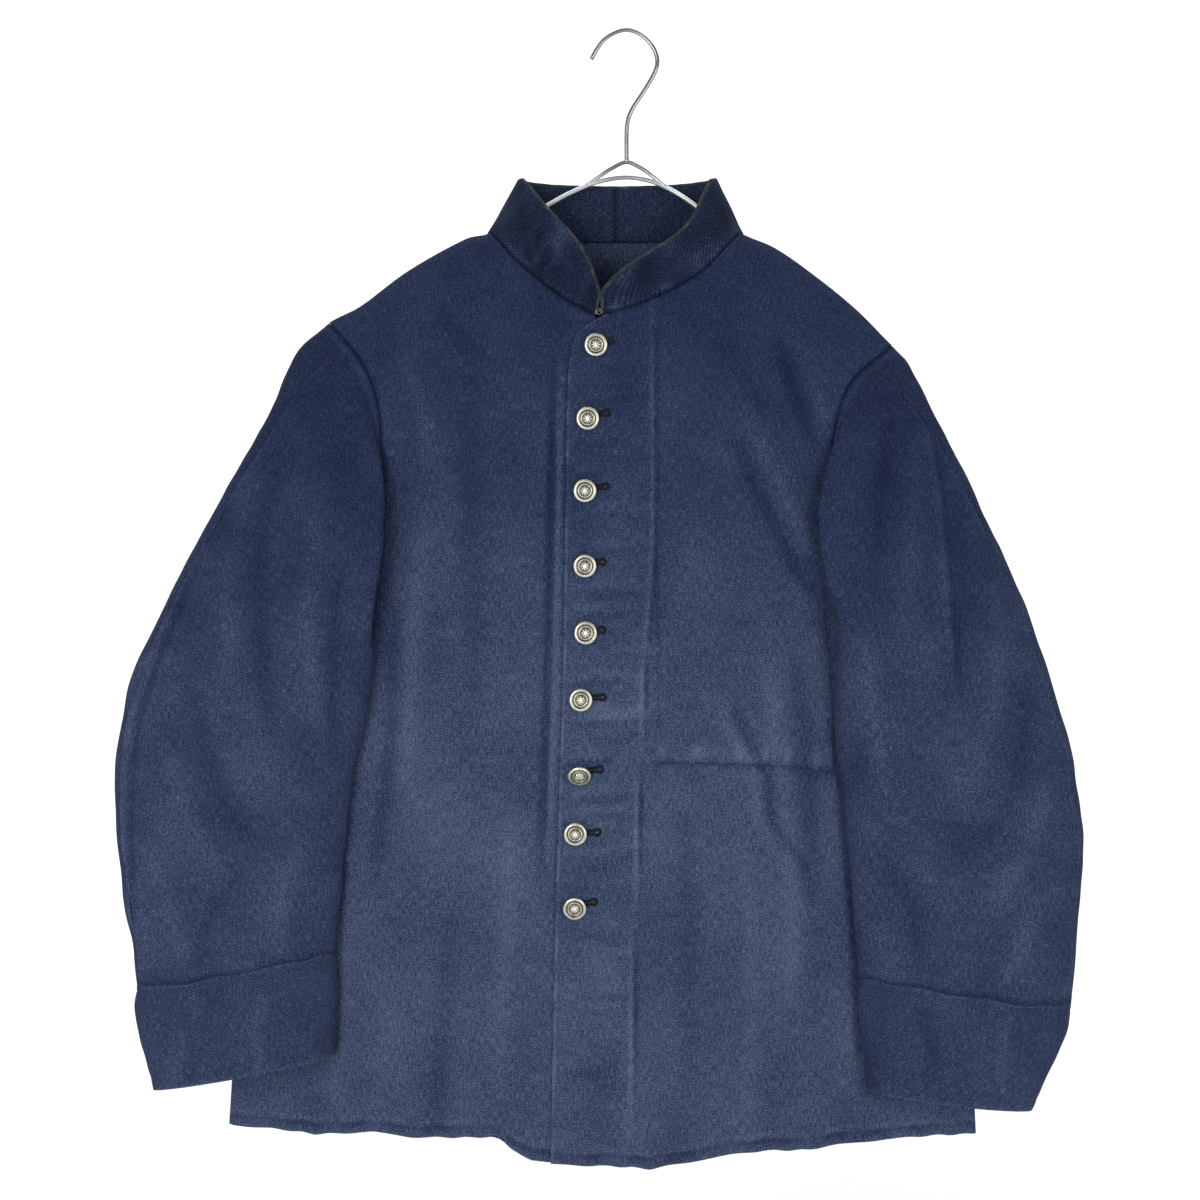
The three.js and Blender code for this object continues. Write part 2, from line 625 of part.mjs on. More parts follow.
// The collar, its two facings inside and the binding on its top edge
const COLLAR_COLUMNS = [
  ...evenly(0, 1, COLLAR_STEPS),
  ...evenly(1, 2, 20).slice(1),
  ...evenly(2, 3, COLLAR_STEPS).slice(1),
];
const COLLAR_HEIGHTS = evenly(0, 1, 3);
const facingInset = COLLAR_CLOTH + SEAM;
const COLLAR = [collar, COLLAR_COLUMNS, COLLAR_HEIGHTS, COLLAR_CLOTH, { out: BACKWARD }];
addMesh('collar', trimmed(wall(...COLLAR), [grownRight, grownLeft, grownBack]), DARK_BLUE);
const nearBinding = [grown(...COLLAR)];
for (const [name, columns, seam, out] of [
  ['right', COLLAR_COLUMNS.filter((u) => u <= 1.5), 'u1', new THREE.Vector3(-1, 0, 0)],
  ['left', COLLAR_COLUMNS.filter((u) => u >= 1.5), 'u0', new THREE.Vector3(1, 0, 0)],
]) {
  const options = { out, drawn: [seam], inset: facingInset };
  const facing = [collar, columns, COLLAR_HEIGHTS, COLLAR_CLOTH, options];
  addMesh(`collar_facing_${name}`, wall(...facing), DARK_BLUE);
  nearBinding.push(grown(...facing));
}

// A round bar of wire or cord along a curve.
function bar(points, radius, steps, sides) {
  const curve = new THREE.CatmullRomCurve3(points);
  const round = new THREE.EllipseCurve(0, 0, radius, radius).getPoints(sides);
  const section = new THREE.Shape(round.slice(0, -1));
  return new THREE.ExtrudeGeometry(section, { steps, extrudePath: curve, bevelEnabled: false });
}

const NECK_MIDDLE = new THREE.Vector3(-8, -14, 0);
const bindingPath = COLLAR_COLUMNS.map((u) => {
  const near = Math.min(Math.max(u, 0.02), 2.98);
  const along = collar(near + 0.02, 1).sub(collar(near - 0.02, 1)).normalize();
  const normal = along.clone().cross(collar(u, 1).sub(collar(u, 0.9))).normalize();
  const up = normal.clone().cross(along);
  const sign = up.z < 0 ? -1 : 1;
  const toMiddle = NECK_MIDDLE.clone().sub(collar(u, 1).setZ(0));
  const inwards = normal.dot(toMiddle) < 0 ? -1 : 1;
  return collar(u, 1).addScaledVector(up, sign * (BINDING_RADIUS + BINDING_GAP))
    .addScaledVector(normal, inwards * (COLLAR_CLOTH + SEAM / 2));
});
addMesh('collar_binding', trimmed(bar(bindingPath, BINDING_RADIUS, 56, 7), nearBinding), BLACK);

// The pocket bag lies on the inside of the left front, made from that panel's own points.
const bagColumns = LEFT_COLUMNS.slice(...POCKET_COLUMNS);
const bagRows = BODY_ROWS.slice(...POCKET_ROWS);
const bag = wall(frontLeft, bagColumns, bagRows, POCKET_CLOTH, { out: FORWARD, inset: CLOTH + SEAM });
addMesh('inside_pocket', bag, DARK_BLUE);

// Domed buttons with a raised rim, each standing on the cloth by its shank.
BUTTONS.forEach(([x, z, down, aside], i) => {
  const turn = THREE.MathUtils.degToRad(down);
  const stand = BUTTON_RADIUS * Math.sin(turn) * BUTTON_STAND;
  const foot = (BUTTON_GAP + SHANK_RADIUS * Math.sin(turn) - stand) / Math.cos(turn);
  const shank = [[0, foot], [SHANK_RADIUS, foot], [SHANK_RADIUS, SHANK_TOP]];
  const profile = [...shank, ...BUTTON_FACE].map(([r, h]) => new THREE.Vector2(r, h));
  const mesh = addMesh(`button_${i + 1}`, new THREE.LatheGeometry(profile, BUTTON_SIDES), PEWTER);
  mesh.rotation.set(Math.PI - turn, 0, THREE.MathUtils.degToRad(aside));
  mesh.position.set(x, frontY(x, z) - LAP - stand, z);
});

// The hanger: a hook, a fork below it and one long bent arm, welded together
function wire(rows, steps) {
  const points = rows.map(([x, z]) => new THREE.Vector3(x, 0, z));
  return solid(bar(points, WIRE_RADIUS, steps, 7));
}
const welded = wire(HOOK, 36).add(wire(FORK, 12)).add(wire(ARMS, 40));
addMesh('hanger', surface(welded), STEEL);

// Hook and eye that close the foot of the collar: a small loop of wire.
const eyeCentre = collar(0, EYE_HEIGHT).lerp(collar(3, EYE_HEIGHT), 0.5);
const eye = new THREE.TorusGeometry(EYE_RADIUS, EYE_WIRE, 6, 12);
const eyeMesh = addMesh('collar_hook', eye, STEEL);
eyeMesh.rotation.set(Math.PI / 2, 0, 0);
eyeMesh.position.set(eyeCentre.x, eyeCentre.y - EYE_FORWARD, eyeCentre.z + EYE_LIFT);

export default jacket;
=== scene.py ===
"""Looks of a worn, stand-collar work jacket of blue twill that hangs buttoned on a wire hanger.

Shapes are worked out in millimetres, +Z up, with the front facing -Y, and become metres when a
mesh is made. Left and right are the wearer's, so the right front is at -X.
"""

import math

import bpy
import numpy as np
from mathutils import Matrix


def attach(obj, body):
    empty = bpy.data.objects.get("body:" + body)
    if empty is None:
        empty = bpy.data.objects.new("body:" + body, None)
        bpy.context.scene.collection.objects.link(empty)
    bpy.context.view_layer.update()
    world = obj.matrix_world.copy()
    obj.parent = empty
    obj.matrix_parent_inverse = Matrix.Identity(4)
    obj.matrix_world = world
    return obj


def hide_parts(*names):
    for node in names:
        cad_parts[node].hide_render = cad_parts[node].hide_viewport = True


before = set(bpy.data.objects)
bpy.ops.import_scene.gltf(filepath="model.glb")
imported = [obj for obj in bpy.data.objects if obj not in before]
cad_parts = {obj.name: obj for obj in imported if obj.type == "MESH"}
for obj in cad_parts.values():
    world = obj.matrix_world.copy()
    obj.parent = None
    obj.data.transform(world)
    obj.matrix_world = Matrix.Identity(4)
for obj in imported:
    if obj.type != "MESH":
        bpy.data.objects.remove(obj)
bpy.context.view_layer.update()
MM = 0.001
ROOT = "root"
FORWARD = np.array([0, -1.0, 0])
BACKWARD = np.array([0, 1.0, 0])

# Points of each cloth piece, across and along
FRONT_COLUMNS = (118, 128)
BACK_COLUMNS = 190
SLEEVE_COLUMNS = 84
SLEEVE_RINGS = 190
CUFF_COLUMNS = 240
CUFF_RINGS = 44
COLLAR_ROWS = 26
POCKET_POINTS = 60
# Powers that crowd the columns of a front at its side, and the rings of a sleeve at its top
FRONT_SPACING = 1.5
RING_SPACING = 1.2

# Cloth and seams
CLOTH = 1.5
COLLAR_CLOTH = 1.4
SLEEVE_CLOTH = 1.1
CUFF_CLOTH = 2.2
POCKET_CLOTH = 1.0
SEAM = 0.3
# How steeply cloth turns away before its weave follows it round
TURNED_AWAY = 1.15
# How far the left front stands over the right one, and where that starts to fade and ends
LAP = 2.4
LAP_FULL_X = 4
LAP_END_X = 44

# How deep the hanging body stands off the hanger's plane
FRONT_DEPTH = 45
BACK_DEPTH = 28
SIDE_ROUND = 6
DEPTH_POWER = 1.4
FRONT_FALL = 90
BACK_FALL = 32

# Levels up a panel: hem, hip, waist, underarm, middle armhole, shoulder tip, neck point
UNDERARM = 3
SHOULDER = 5
NECK = 6
ARMHOLE_FOOT = 3.4
BODY_LEVELS = np.concatenate([
    np.linspace(0, UNDERARM, 150),
    np.linspace(UNDERARM, SHOULDER, 76)[1:],
    np.linspace(SHOULDER, NECK, 34)[1:],
])

# Ridge of the shoulders, and the roof it would make across the neck: x, z
CREST = [
    [-260, -246], [-223, -218], [-200, -206], [-165, -180], [-120, -155], [-103, -151],
    [-88, -140], [-60, -122], [-8, -106], [44, -122], [72, -140], [86, -151], [111, -162],
    [140, -182], [172, -208], [199, -235], [240, -272],
]

# Side folds of the body: z, x at the right side, x at the left side
SIDES = [
    [-850, -300, 263], [-700, -290, 256], [-560, -275, 247], [-396, -258, 236], [-372, -262, 240],
    [-340, -278, 255], [-300, -302, 278], [-220, -332, 306], [-100, -360, 330],
]

# Edges of the panels on each side: level, x, z
RIGHT = {
    "side": [[0, 0, -820], [1, 0, -700], [2, 0, -550], [3, 0, -396]],
    "armhole": [
        [3, -258, -396], [3.2, -231, -403], [3.4, -206, -404], [3.6, -191, -390], [3.8, -184, -364],
        [4, -182, -336], [4.4, -184, -284], [4.7, -197, -249], [5, -223, -218],
    ],
    "back_armhole": [
        [3, -258, -396], [3.4, -216, -372], [4, -196, -318], [4.5, -200, -262], [5, -223, -218],
    ],
    "shoulder": [[5, -223, 0], [5.5, -165, 0], [6, -105, 0]],
    "middle": [
        [0, -10, -836], [1, -9, -720], [2, -8, -596], [3, -6, -466], [4, -6, -342], [4.6, -8, -260],
        [5, -24, -217],
    ],
    "clear": [
        [-850, -300], [-560, -275], [-425, -260], [-408, -236], [-396, -205], [-380, -188], [-335, -182],
        [-285, -184], [-250, -197], [-218, -223],
    ],
    "neckline": [[5, -24, -217], [5.35, -50, -202], [5.7, -80, -177], [6, -102, -152]],
    "index": 0,
}
LEFT = {
    "side": [[0, 0, -826], [1, 0, -700], [2, 0, -550], [3, 0, -400]],
    "armhole": [
        [3, 236, -400], [3.2, 209, -407], [3.4, 184, -408], [3.6, 166, -394], [3.8, 155, -369],
        [4, 151, -344], [4.4, 154, -296], [4.7, 167, -263], [5, 199, -235],
    ],
    "back_armhole": [[3, 236, -400], [3.4, 184, -388], [4, 172, -328], [4.5, 174, -276], [5, 199, -235]],
    "shoulder": [[5, 199, 0], [5.5, 140, 0], [6, 88, 0]],
    "middle": [
        [0, -56, -838], [1, -54, -722], [2, -51, -600], [3, -47, -474], [4, -45, -348], [4.55, -43, -258],
        [4.8, -37, -231], [5, -18, -217],
    ],
    "clear": [
        [-850, 263], [-560, 247], [-430, 238], [-415, 212], [-403, 178], [-388, 158], [-344, 151],
        [-296, 154], [-263, 167], [-235, 199],
    ],
    "neckline": [[5, -18, -217], [5.35, 16, -206], [5.7, 56, -183], [6, 85, -152]],
    "index": 1,
}

# Largest folds: start x, z, end x, z, half width, height outwards
FOLD_FADE = 0.3
FRONT_FOLDS = [
    [-150, -300, -128, -640, 26, 4], [-175, -560, -190, -850, 30, 4.5], [-100, -640, -92, -850, 24, -4],
    [128, -215, 158, -300, 16, 3.5], [92, -270, 150, -410, 20, 3.5], [104, -440, 130, -760, 24, 4.5],
    [190, -620, 200, -850, 30, 4.5], [60, -680, 62, -850, 26, -4],
]
BACK_FOLDS = [
    [-110, -330, -140, -850, 36, 6], [95, -330, 120, -850, 36, 6], [-10, -560, -10, -850, 30, -5],
]

# Sleeves: share of the length, outer fold x y z, inner fold x y z,
# reach of the front and of the back towards the body, depth of the front and of the back
RIGHT_SLEEVE = [
    [0, -223, 0, -218, -206, -20, -404, 20, 0, 18, 10],
    [0.1, -245, -4, -239, -196, -34, -428, 32, -4, 24, 11],
    [0.25, -266, -10, -284, -190, -42, -452, 26, 0, 27, 12],
    [0.4, -301, -18, -351, -188, -45, -478, 14, 0, 27, 13],
    [0.55, -336, -24, -418, -192, -46, -512, 4, 0, 25, 14],
    [0.7, -366, -28, -485, -202, -46, -556, 0, 0, 24, 15],
    [0.8, -378, -30, -548, -207, -46, -592, 0, 0, 24, 15],
    [0.9, -374, -32, -618, -211, -45, -636, 0, 0, 24, 15],
    [1, -361, -32, -710, -216, -44, -687, 0, 0, 23, 15],
]
RIGHT_CUFF = [
    RIGHT_SLEEVE[-1],
    [1.35, -363, -32, -731, -214, -42, -710, 0, 0, 25, 16],
    [2, -349, -32, -786, -215, -42, -761, 0, 0, 25, 16],
]
LEFT_SLEEVE = [
    [0, 199, 0, -235, 184, -20, -408, -22, 0, 18, 10],
    [0.1, 211, -3, -249, 166, -34, -434, -34, 4, 24, 11],
    [0.25, 228, -10, -284, 158, -42, -456, -28, 0, 27, 12],
    [0.4, 260, -18, -351, 154, -45, -482, -16, 0, 27, 13],
    [0.55, 289, -24, -418, 153, -46, -514, -5, 0, 25, 14],
    [0.7, 313, -28, -485, 158, -46, -560, 0, 0, 24, 15],
    [0.8, 330, -30, -548, 163, -46, -600, 0, 0, 24, 15],
    [0.9, 336, -32, -614, 167, -45, -650, 0, 0, 24, 15],
    [1, 327, -32, -724, 171, -44, -705, 0, 0, 23, 15],
]
LEFT_CUFF = [
    LEFT_SLEEVE[-1],
    [1.35, 323, -32, -746, 171, -42, -730, 0, 0, 25, 16],
    [2, 298, -32, -801, 177, -42, -787, 0, 0, 25, 16],
]
# Share of a sleeve that still bends towards the armhole, in front and behind
FRONT_BLEND = 0.45
BACK_BLEND = 0.16
# Rolled cloth beside the armhole seam
SEAM_ROLL = 2
SEAM_ROLL_END = 0.03
# How the sleeves lie on the fronts: clearance, gap under the inner fold, and how far it reaches
SLEEVE_CLEAR = 1.8
FOLD_REST = 4
FOLD_REACH = 0.3
CLEAR_SOFT = 1.5
CLEAR_RAMP = 0.04
SLEEVE_ROUND = 0.7
# Steps of the armhole's loop down the front and up behind, and those that still lie on the front
FRONT_STEPS = 8
BACK_STEPS = 12
LOW_STEPS = 2
# Large folds of a sleeve by its length and turn: start, end, half width, height outwards
SLEEVE_FOLDS = [
    [0.42, 0.62, 0.55, 0.2, 0.09, 4], [0.66, 0.3, 0.6, 0.75, 0.05, 4], [0.84, 0.7, 0.95, 0.3, 0.05, 3],
]

# Collar rise from the neckline to its top edge: share from neck point to front end, x, y, z
RIGHT_RISE = [[0, 23, -2, 40], [0.5, 19, -4, 37], [0.75, 13, -5, 29], [1, 3, -4, 15]]
LEFT_RISE = [
    [0, -20, -2, 41], [0.1, -18, -3, 36], [0.2, -17, -3, 29], [0.35, -18, -4, 26],
    [0.5, -17.5, -4, 25.5], [0.75, -11, -5, 23], [1, 0, -4, 16],
]
BACK_RISE = [0, -8, 38]
NECK_DIP = 1
COLLAR_GAP = 0.3
COLLAR_TURNS = np.concatenate([
    np.linspace(0, 1, 64),
    np.linspace(1, 2, 120)[1:],
    np.linspace(2, 3, 64)[1:],
])
COLLAR_MIDDLE = 1.5
COLLAR_END = 3.0
FACING_FOOT = -0.05
BINDING_RADIUS = 1.6
BINDING_LIFT = 0.5
BINDING_STEP = 1.2
HOOK_WIRE = 0.45

# Buttons: x, z, turned down, turned sideways in degrees, and the buttonhole's eyelet beside it
BUTTONS = [
    [-23, -239, 0, 4, 11, 3], [-29, -293, 3, -3, 14, 4], [-31, -346, 2, 2, 15, 3],
    [-31, -401, 4, 0, 13, 3], [-30.5, -450, 2, -4, 12, 2], [-34, -499, 3, 3, 16, 2],
    [-35, -553, 36, 0, 15, 3],
    [-38, -597, 4, -5, 16, 1], [-38.5, -651, 12, 2, 14, 4],
]
BUTTON_RADIUS = 9
BUTTON_SCALE = 0.96
SHANK_RADIUS = 2.4
BUTTON_GAP = 0.45
BUTTON_SIDES = 56
# Raised work on a button: radius, half width, height, number round
ROSETTE = (2.6, 1.1, 0.28, 8)
BEADS = (4.95, 0.35, 0.12, 28)

# Hanger wire: x, z
WIRE_RADIUS = 1.65
WIRE_SIDES = 16
WIRE_STEP = 2.5
HOOK = [
    [-26.5, -20.5], [-22.4, -13], [-16.8, -5.6], [-8.5, -0.4], [0, 1.65], [8.7, -0.8], [16.4, -7],
    [21.5, -15], [23, -23.5], [20.2, -32], [13, -44.3], [6, -54.8], [1.5, -64], [0, -74], [0, -99],
]
FORK = [[-30, -115], [-21, -108.5], [-10, -101.5], [0, -97.5], [10, -101.5], [20, -108.5], [29, -116]]
ARMS = [
    [-212, -219], [-198, -212], [-165, -186.5], [-125, -166], [-103, -158.5], [-80, -143.5], [-61, -131],
    [-42, -120.5], [-22, -112.5], [0, -109], [20, -112.5], [38, -121], [54, -132], [70, -145], [86, -159],
    [111, -170.5], [140, -189], [172, -214], [188, -229],
]

# Lines sewn through the front: x, z
FACING_LINE = [[21, -222], [21, -382], [13, -499], [8, -645], [3, -838]]
POCKET_SIDE = [[22, -388], [22, -470], [21.6, -545]]
POCKET_FOOT = [[21.6, -545], [80, -547], [120, -549], [153, -554]]
POCKET_END = [[153, -554], [154, -505]]
# Each line with the depth and half width of its dent, and the strength and half width of the painted shade
# in that dent
SEWN_LINES = [
    [FACING_LINE, 0.7, 1.5, 0.5, 1.1], [POCKET_SIDE, 0.5, 1.5, 0.4, 1.1],
    [POCKET_FOOT, 0.8, 3, 0.3, 2.4], [POCKET_END, 0.6, 1.5, 0.5, 1.2],
]
# Pocket bag: its two sides, how far it hangs below its sewn foot, and its top
POCKET_ACROSS = (17, 157)
POCKET_BELOW = 4
POCKET_TOP = -396
# Height of the hem's stitches above the edge, and the stitches themselves
HEM_STITCH = 7.5
STITCH = 2.1
STITCH_GAP = 0.9
THREAD_RADIUS = 0.24
POCKET_STITCH_GAP = 0.4
POCKET_THREAD = 0.34
BUTTONHOLE_THREAD = 0.42
LAP_STITCH = 0.993
CUFF_STITCHES = (1.07, 1.9)

# How much lower or higher each hem hangs than its straight line: x, height
HEM_DROPS = {
    "front_right": [
        [-300, 2], [-232, 1], [-210, 4], [-188, 7], [-160, 6], [-130, 8], [-100, 10], [-92, 8], [-86, 3],
        [-71, -4], [-57, -5], [-10, -4],
    ],
    "front_left": [
        [-56, -1], [2, -5], [16, -7], [45, -5], [75, -1], [100, 1], [133, -1], [192, 3], [263, 1],
    ],
    "back": [[-300, 2], [-200, -2], [-90, 3], [0, -2], [110, 3], [200, -2], [263, 1]],
}

# Sharp creases beside the lap and over the pocket: points x z, half width, height outwards
PLACKET_CREASES = [
    [[[-48, -224], [-50, -330], [-53, -470], [-58, -640]], 2.8, 2.4],
    [[[-54, -224], [-56, -340], [-59, -500], [-65, -660]], 2.6, -3.2],
    [[[74, -482], [83, -515], [102, -550], [108, -590], [130, -620], [140, -664]], 4, -1.9],
    [[[66, -486], [75, -520], [93, -552], [99, -592], [120, -626]], 5, 1.2],
]
# Share of a crease's length over which each end fades, and depth of body at which creases are full
CREASE_FADE = 0.22
FRONT_CREASE_DEPTH = 22
BACK_CREASE_DEPTH = 18
# Softer creases of the front
CREASE_SHARE = 0.75
FRONT_CREASES = [
    [[[-105, -215], [-118, -330], [-112, -450], [-120, -560]], 9, -1.6],
    [[[-150, -330], [-158, -450], [-166, -590]], 8, 1.6],
    [[[-172, -410], [-176, -520], [-188, -650]], 6, -2.2],
    [[[-84, -560], [-90, -680], [-96, -800]], 7, 1.4],
    [[[-128, -640], [-136, -740], [-140, -834]], 8, -1.8],
    [[[-205, -640], [-216, -740], [-214, -826]], 9, 1.6],
    [[[-150, -196], [-120, -236], [-84, -262]], 6, -1.3],
    [[[-172, -232], [-150, -290], [-146, -340]], 7, 1.5],
    [[[118, -214], [136, -258], [150, -306]], 5, 1.6],
    [[[108, -226], [124, -272], [142, -318]], 4.5, -2.8],
    [[[84, -282], [112, -338], [146, -410]], 6, 1.6],
    [[[74, -296], [102, -356], [142, -432]], 5.5, -2.8],
    [[[60, -222], [84, -256], [108, -300]], 7, -1.2],
    [[[98, -440], [112, -530], [122, -640], [126, -740]], 8, 1.8],
    [[[122, -452], [134, -540], [142, -660]], 7, -2.0],
    [[[40, -560], [46, -660], [44, -800]], 8, -1.5],
    [[[84, -590], [92, -700], [88, -830]], 7, 1.3],
    [[[168, -590], [176, -700], [186, -826]], 9, -1.9],
    [[[40, -300], [60, -318], [96, -322]], 6, 0.9],
    [[[36, -430], [70, -440], [110, -436]], 6, -0.9],
]
# Creases of the back
BACK_CREASES = [
    [[[-150, -200], [-60, -214], [40, -210], [120, -202]], 9, -1.6],
    [[[-170, -240], [-120, -330], [-100, -420]], 8, 1.7],
    [[[150, -250], [108, -336], [90, -430]], 8, 1.7],
    [[[-200, -330], [-170, -400], [-160, -500]], 7, -2.0],
    [[[182, -340], [150, -410], [140, -510]], 7, -2.0],
    [[[-60, -420], [-72, -560], [-80, -720]], 9, 1.8],
    [[[50, -430], [60, -570], [66, -730]], 9, 1.8],
    [[[-8, -300], [-12, -460], [-8, -640]], 8, -1.6],
    [[[-180, -560], [-196, -690], [-200, -820]], 9, -1.8],
    [[[160, -560], [176, -690], [180, -824]], 9, -1.8],
    [[[-120, -600], [-128, -720], [-124, -830]], 8, 1.5],
    [[[110, -600], [118, -720], [112, -832]], 8, 1.5],
]
# Creases of the sleeves, seen from the front: points x z, half width, height outwards
SLEEVE_CREASE_SHARE = 0.65
RIGHT_SLEEVE_CREASES = [
    [[[-246, -300], [-268, -380], [-262, -500], [-248, -548]], 7, -2.2],
    [[[-268, -296], [-290, -390], [-288, -500]], 8, 1.8],
    [[[-222, -330], [-232, -430], [-222, -540]], 7, 1.8],
    [[[-206, -380], [-214, -470], [-210, -560]], 5, -1.8],
    [[[-320, -470], [-300, -560], [-262, -610]], 8, -2.0],
    [[[-340, -520], [-316, -590], [-276, -650]], 8, 1.8],
    [[[-276, -616], [-300, -650], [-316, -700]], 6, -2.0],
    [[[-232, -590], [-252, -640], [-250, -690]], 6, 1.6],
    [[[-350, -600], [-330, -660], [-322, -704]], 7, 1.5],
    [[[-300, -364], [-338, -455], [-362, -543], [-361, -690]], 2.6, -2.4],
    [[[-306, -364], [-344, -455], [-368, -543], [-367, -690]], 2.6, 1.8],
]
LEFT_SLEEVE_CREASES = [
    [[[196, -270], [186, -350], [180, -430]], 6, -1.9],
    [[[214, -290], [208, -380], [198, -470]], 8, 1.8],
    [[[240, -330], [244, -430], [226, -530]], 8, -2.0],
    [[[268, -390], [270, -480], [252, -570]], 8, 1.7],
    [[[172, -440], [180, -520], [190, -590]], 6, 1.7],
    [[[294, -470], [284, -560], [240, -620]], 8, -1.9],
    [[[312, -540], [290, -610], [250, -660]], 8, 1.7],
    [[[180, -600], [206, -650], [214, -700]], 6, -1.7],
    [[[300, -640], [280, -690], [268, -716]], 6, 1.5],
    [[[214, -272], [226, -338], [232, -426], [238, -520]], 2.6, 2.0],
    [[[220, -272], [232, -338], [238, -426], [244, -520]], 2.6, -2.0],
]
CUFF_CREASES = [
    [[[-330, -712], [-316, -750], [-322, -784]], 5, -1.1],
    [[[-262, -700], [-270, -740], [-262, -776]], 6, 1.0],
    [[[210, -716], [222, -752], [216, -788]], 6, -1.1],
    [[[280, -724], [272, -760], [276, -796]], 5, 1.0],
]
# Creases above and below each button: height above it, half width, height outwards
PULLS = [[11, 2.2, -2.0], [17, 2.8, 1.3], [-12, 2.6, 1.0], [-19, 2.2, -1.4], [24, 2.4, -0.9]]
PULL_SEED = 4
# Creases across the lap below the last button: first, end and step of z
LOW_PULLS = (-682, -826, -9.0)

# Unevenness of the cloth: seed, then height and wavelength of its coarse and of its fine waves
BODY_UNEVEN = (1, 0.5, 70, 0.22, 24)
BACK_UNEVEN_Y = 400
SLEEVE_UNEVEN = (0.55, 60, 0.2, 22)
CUFF_UNEVEN = (31, 0.45, 46, 0.15, 18)
COLLAR_UNEVEN = (41, 0.45, 40, 0.15, 15)
COLLAR_FADING = (43, 0.16, 34, 0.1, 11)

# Tone: darker sleeves and cuffs, painted light on the insides that lie in shade, and the painted light and
# shade that a height of crease gives
SLEEVE_TONE = -0.25
CUFF_TONE = -0.29
BACK_INSIDE_PAINTED_LIGHT = 0.65
FACING_INSIDE_PAINTED_LIGHT = 0.3
# Painted light on crease ridges and painted shade in crease hollows, by the height of crease: strength and
# limits
CREASE_PAINTED_SHADING = 0.15
CREASE_PAINTED_SHADING_LIMITS = (-0.42, 0.28)
# Tone along the edges of a piece, wear where the strength is above 0 and painted shade in seams and corners
# where it is below: how far it reaches, axis, end of that axis, strength
# Sleeves: painted shade in the armhole and cuff seams, then wear along the two seams of upper and under
# sleeve
SLEEVE_EDGE_SHADE_AND_WEAR = [(1.4, 0, 0, -0.5), (1.6, 0, 1, -0.4), (1.5, 1, 0, 0.2), (1.5, 1, 1, 0.1)]
CUFF_EDGES = [(1.8, 0, 1, 0.35), (1.6, 0, 0, 0.22)]
# Painted shade at the collar's foot, where it stands on the neckline
COLLAR_FOOT_SHADE = [(1.5, 0, 0, -0.6)]
COLLAR_TOP_EDGE = [(3, 0, 1, 0.3)]
# Painted shade at the facings' feet and where the two facings meet at the back
FACING_EDGE_SHADE = {"right": [(1.4, 1, 1, -0.9), (2, 0, 0, -0.5)], "left": [(1.4, 1, 0, -0.9), (2, 0, 0, -0.5)]}
# Painted shade along the fronts' outer edge: side seam, armhole and shoulder
FRONT_SIDE_SHADE = [(2, 1, 0, -0.45)]
FRONT_MIDDLE_EDGES = {"front_right": [(1.6, 1, 1, 0.1)], "front_left": [(1.6, 1, 1, 0.7)]}
# Painted shadow on the fronts along the sleeves' inner folds, where the sleeves lie over them: x, z
SLEEVE_SHADOW_LINES = [
    [[-179, -316], [-180, -368], [-184, -419], [-194, -484], [-206, -543], [-210, -616], [-215, -758]],
    [[146, -419], [149, -462], [154, -514], [157, -550], [161, -609], [168, -682], [171, -762]],
]
SLEEVE_SHADOW_STRENGTH = 0.35
SLEEVE_SHADOW_WIDTH = 1.8

# Camera, as the photograph is framed: place and width of the view at the hanger's plane
CAMERA_PLACE = (-0.020, -1.9, -0.426)
VIEW_WIDTH = 0.9
FLOOR_Z = -0.97
STAGE_DEEP = 6.0
STAGE_CURVE_START = 3.6
STAGE_CURVE = 2.4
STAGE_TOP = 9.0
STAGE_HALF = 10.0

# Lights: name, place, aim, size, watts
LIGHTS = [
    ["key", (-1.0, -2.3, -0.2), (0, 0, -0.5), 1.1, 24],
    ["fill", (2.6, -4.4, -0.2), (0, 0, -0.55), 1.4, 51],
    ["rear", (0, 2.4, 4.3), (0, 5.9, -0.2), 6.0, 380],
]
SKY = 0.3

# Colours: dark, middle and pale, and how much paler the cloth gets from the neck to the waist, partly from
# fading and partly as painted light and shade
BLUE = ((0.008, 0.014, 0.042), (0.031, 0.047, 0.104), (0.115, 0.145, 0.235), 0.48)
DEEP_BLUE = ((0.004, 0.007, 0.018), (0.0145, 0.0235, 0.056), (0.06, 0.083, 0.145), 0.05)
FADE_AND_SHADE_TOP = -0.12
FADE_AND_SHADE_FOOT = -0.50
BINDING = ((0.3, (0.007, 0.009, 0.011)), (0.52, (0.024, 0.029, 0.033)), (0.7, (0.10, 0.115, 0.11)))
PEWTER = ((0.05, (0.05, 0.048, 0.033)), (0.45, (0.36, 0.35, 0.275)), (0.85, (0.80, 0.79, 0.69)))
STEEL = ((0.3, (0.78, 0.79, 0.81)), (0.7, (0.97, 0.98, 1.0)))
BLUE_THREAD = ((0.02, 0.028, 0.055), (0.07, 0.085, 0.14))
DARK_THREAD = ((0.008, 0.012, 0.026), (0.02, 0.027, 0.05))
BLACK_THREAD = ((0.004, 0.005, 0.006), (0.016, 0.018, 0.02))
STAGE_PALE = ((0.3, (0.86, 0.86, 0.86)), (0.7, (0.89, 0.89, 0.89)))

# Twill ribs in metres: their spacing, slope, how far one slope runs and how much it wobbles
RIB_SPACING = 0.0021
RIB_SLOPE = 0.55
RIB_RUN = 0.034
RIB_WOBBLE = 0.0011

# Brightness of the hanger high up, darkened as painted shade, and low down on the arms that face the light,
# with the heights between, and of the collar's hook
WIRE_SHADED_AND_LIT = (0.38, 0.95)
WIRE_SHADE_FOOT = -0.103
WIRE_LIT_TOP = -0.118
WIRE_SATIN = 1.1
HOOK_SHINE = (0.25, 0.25)


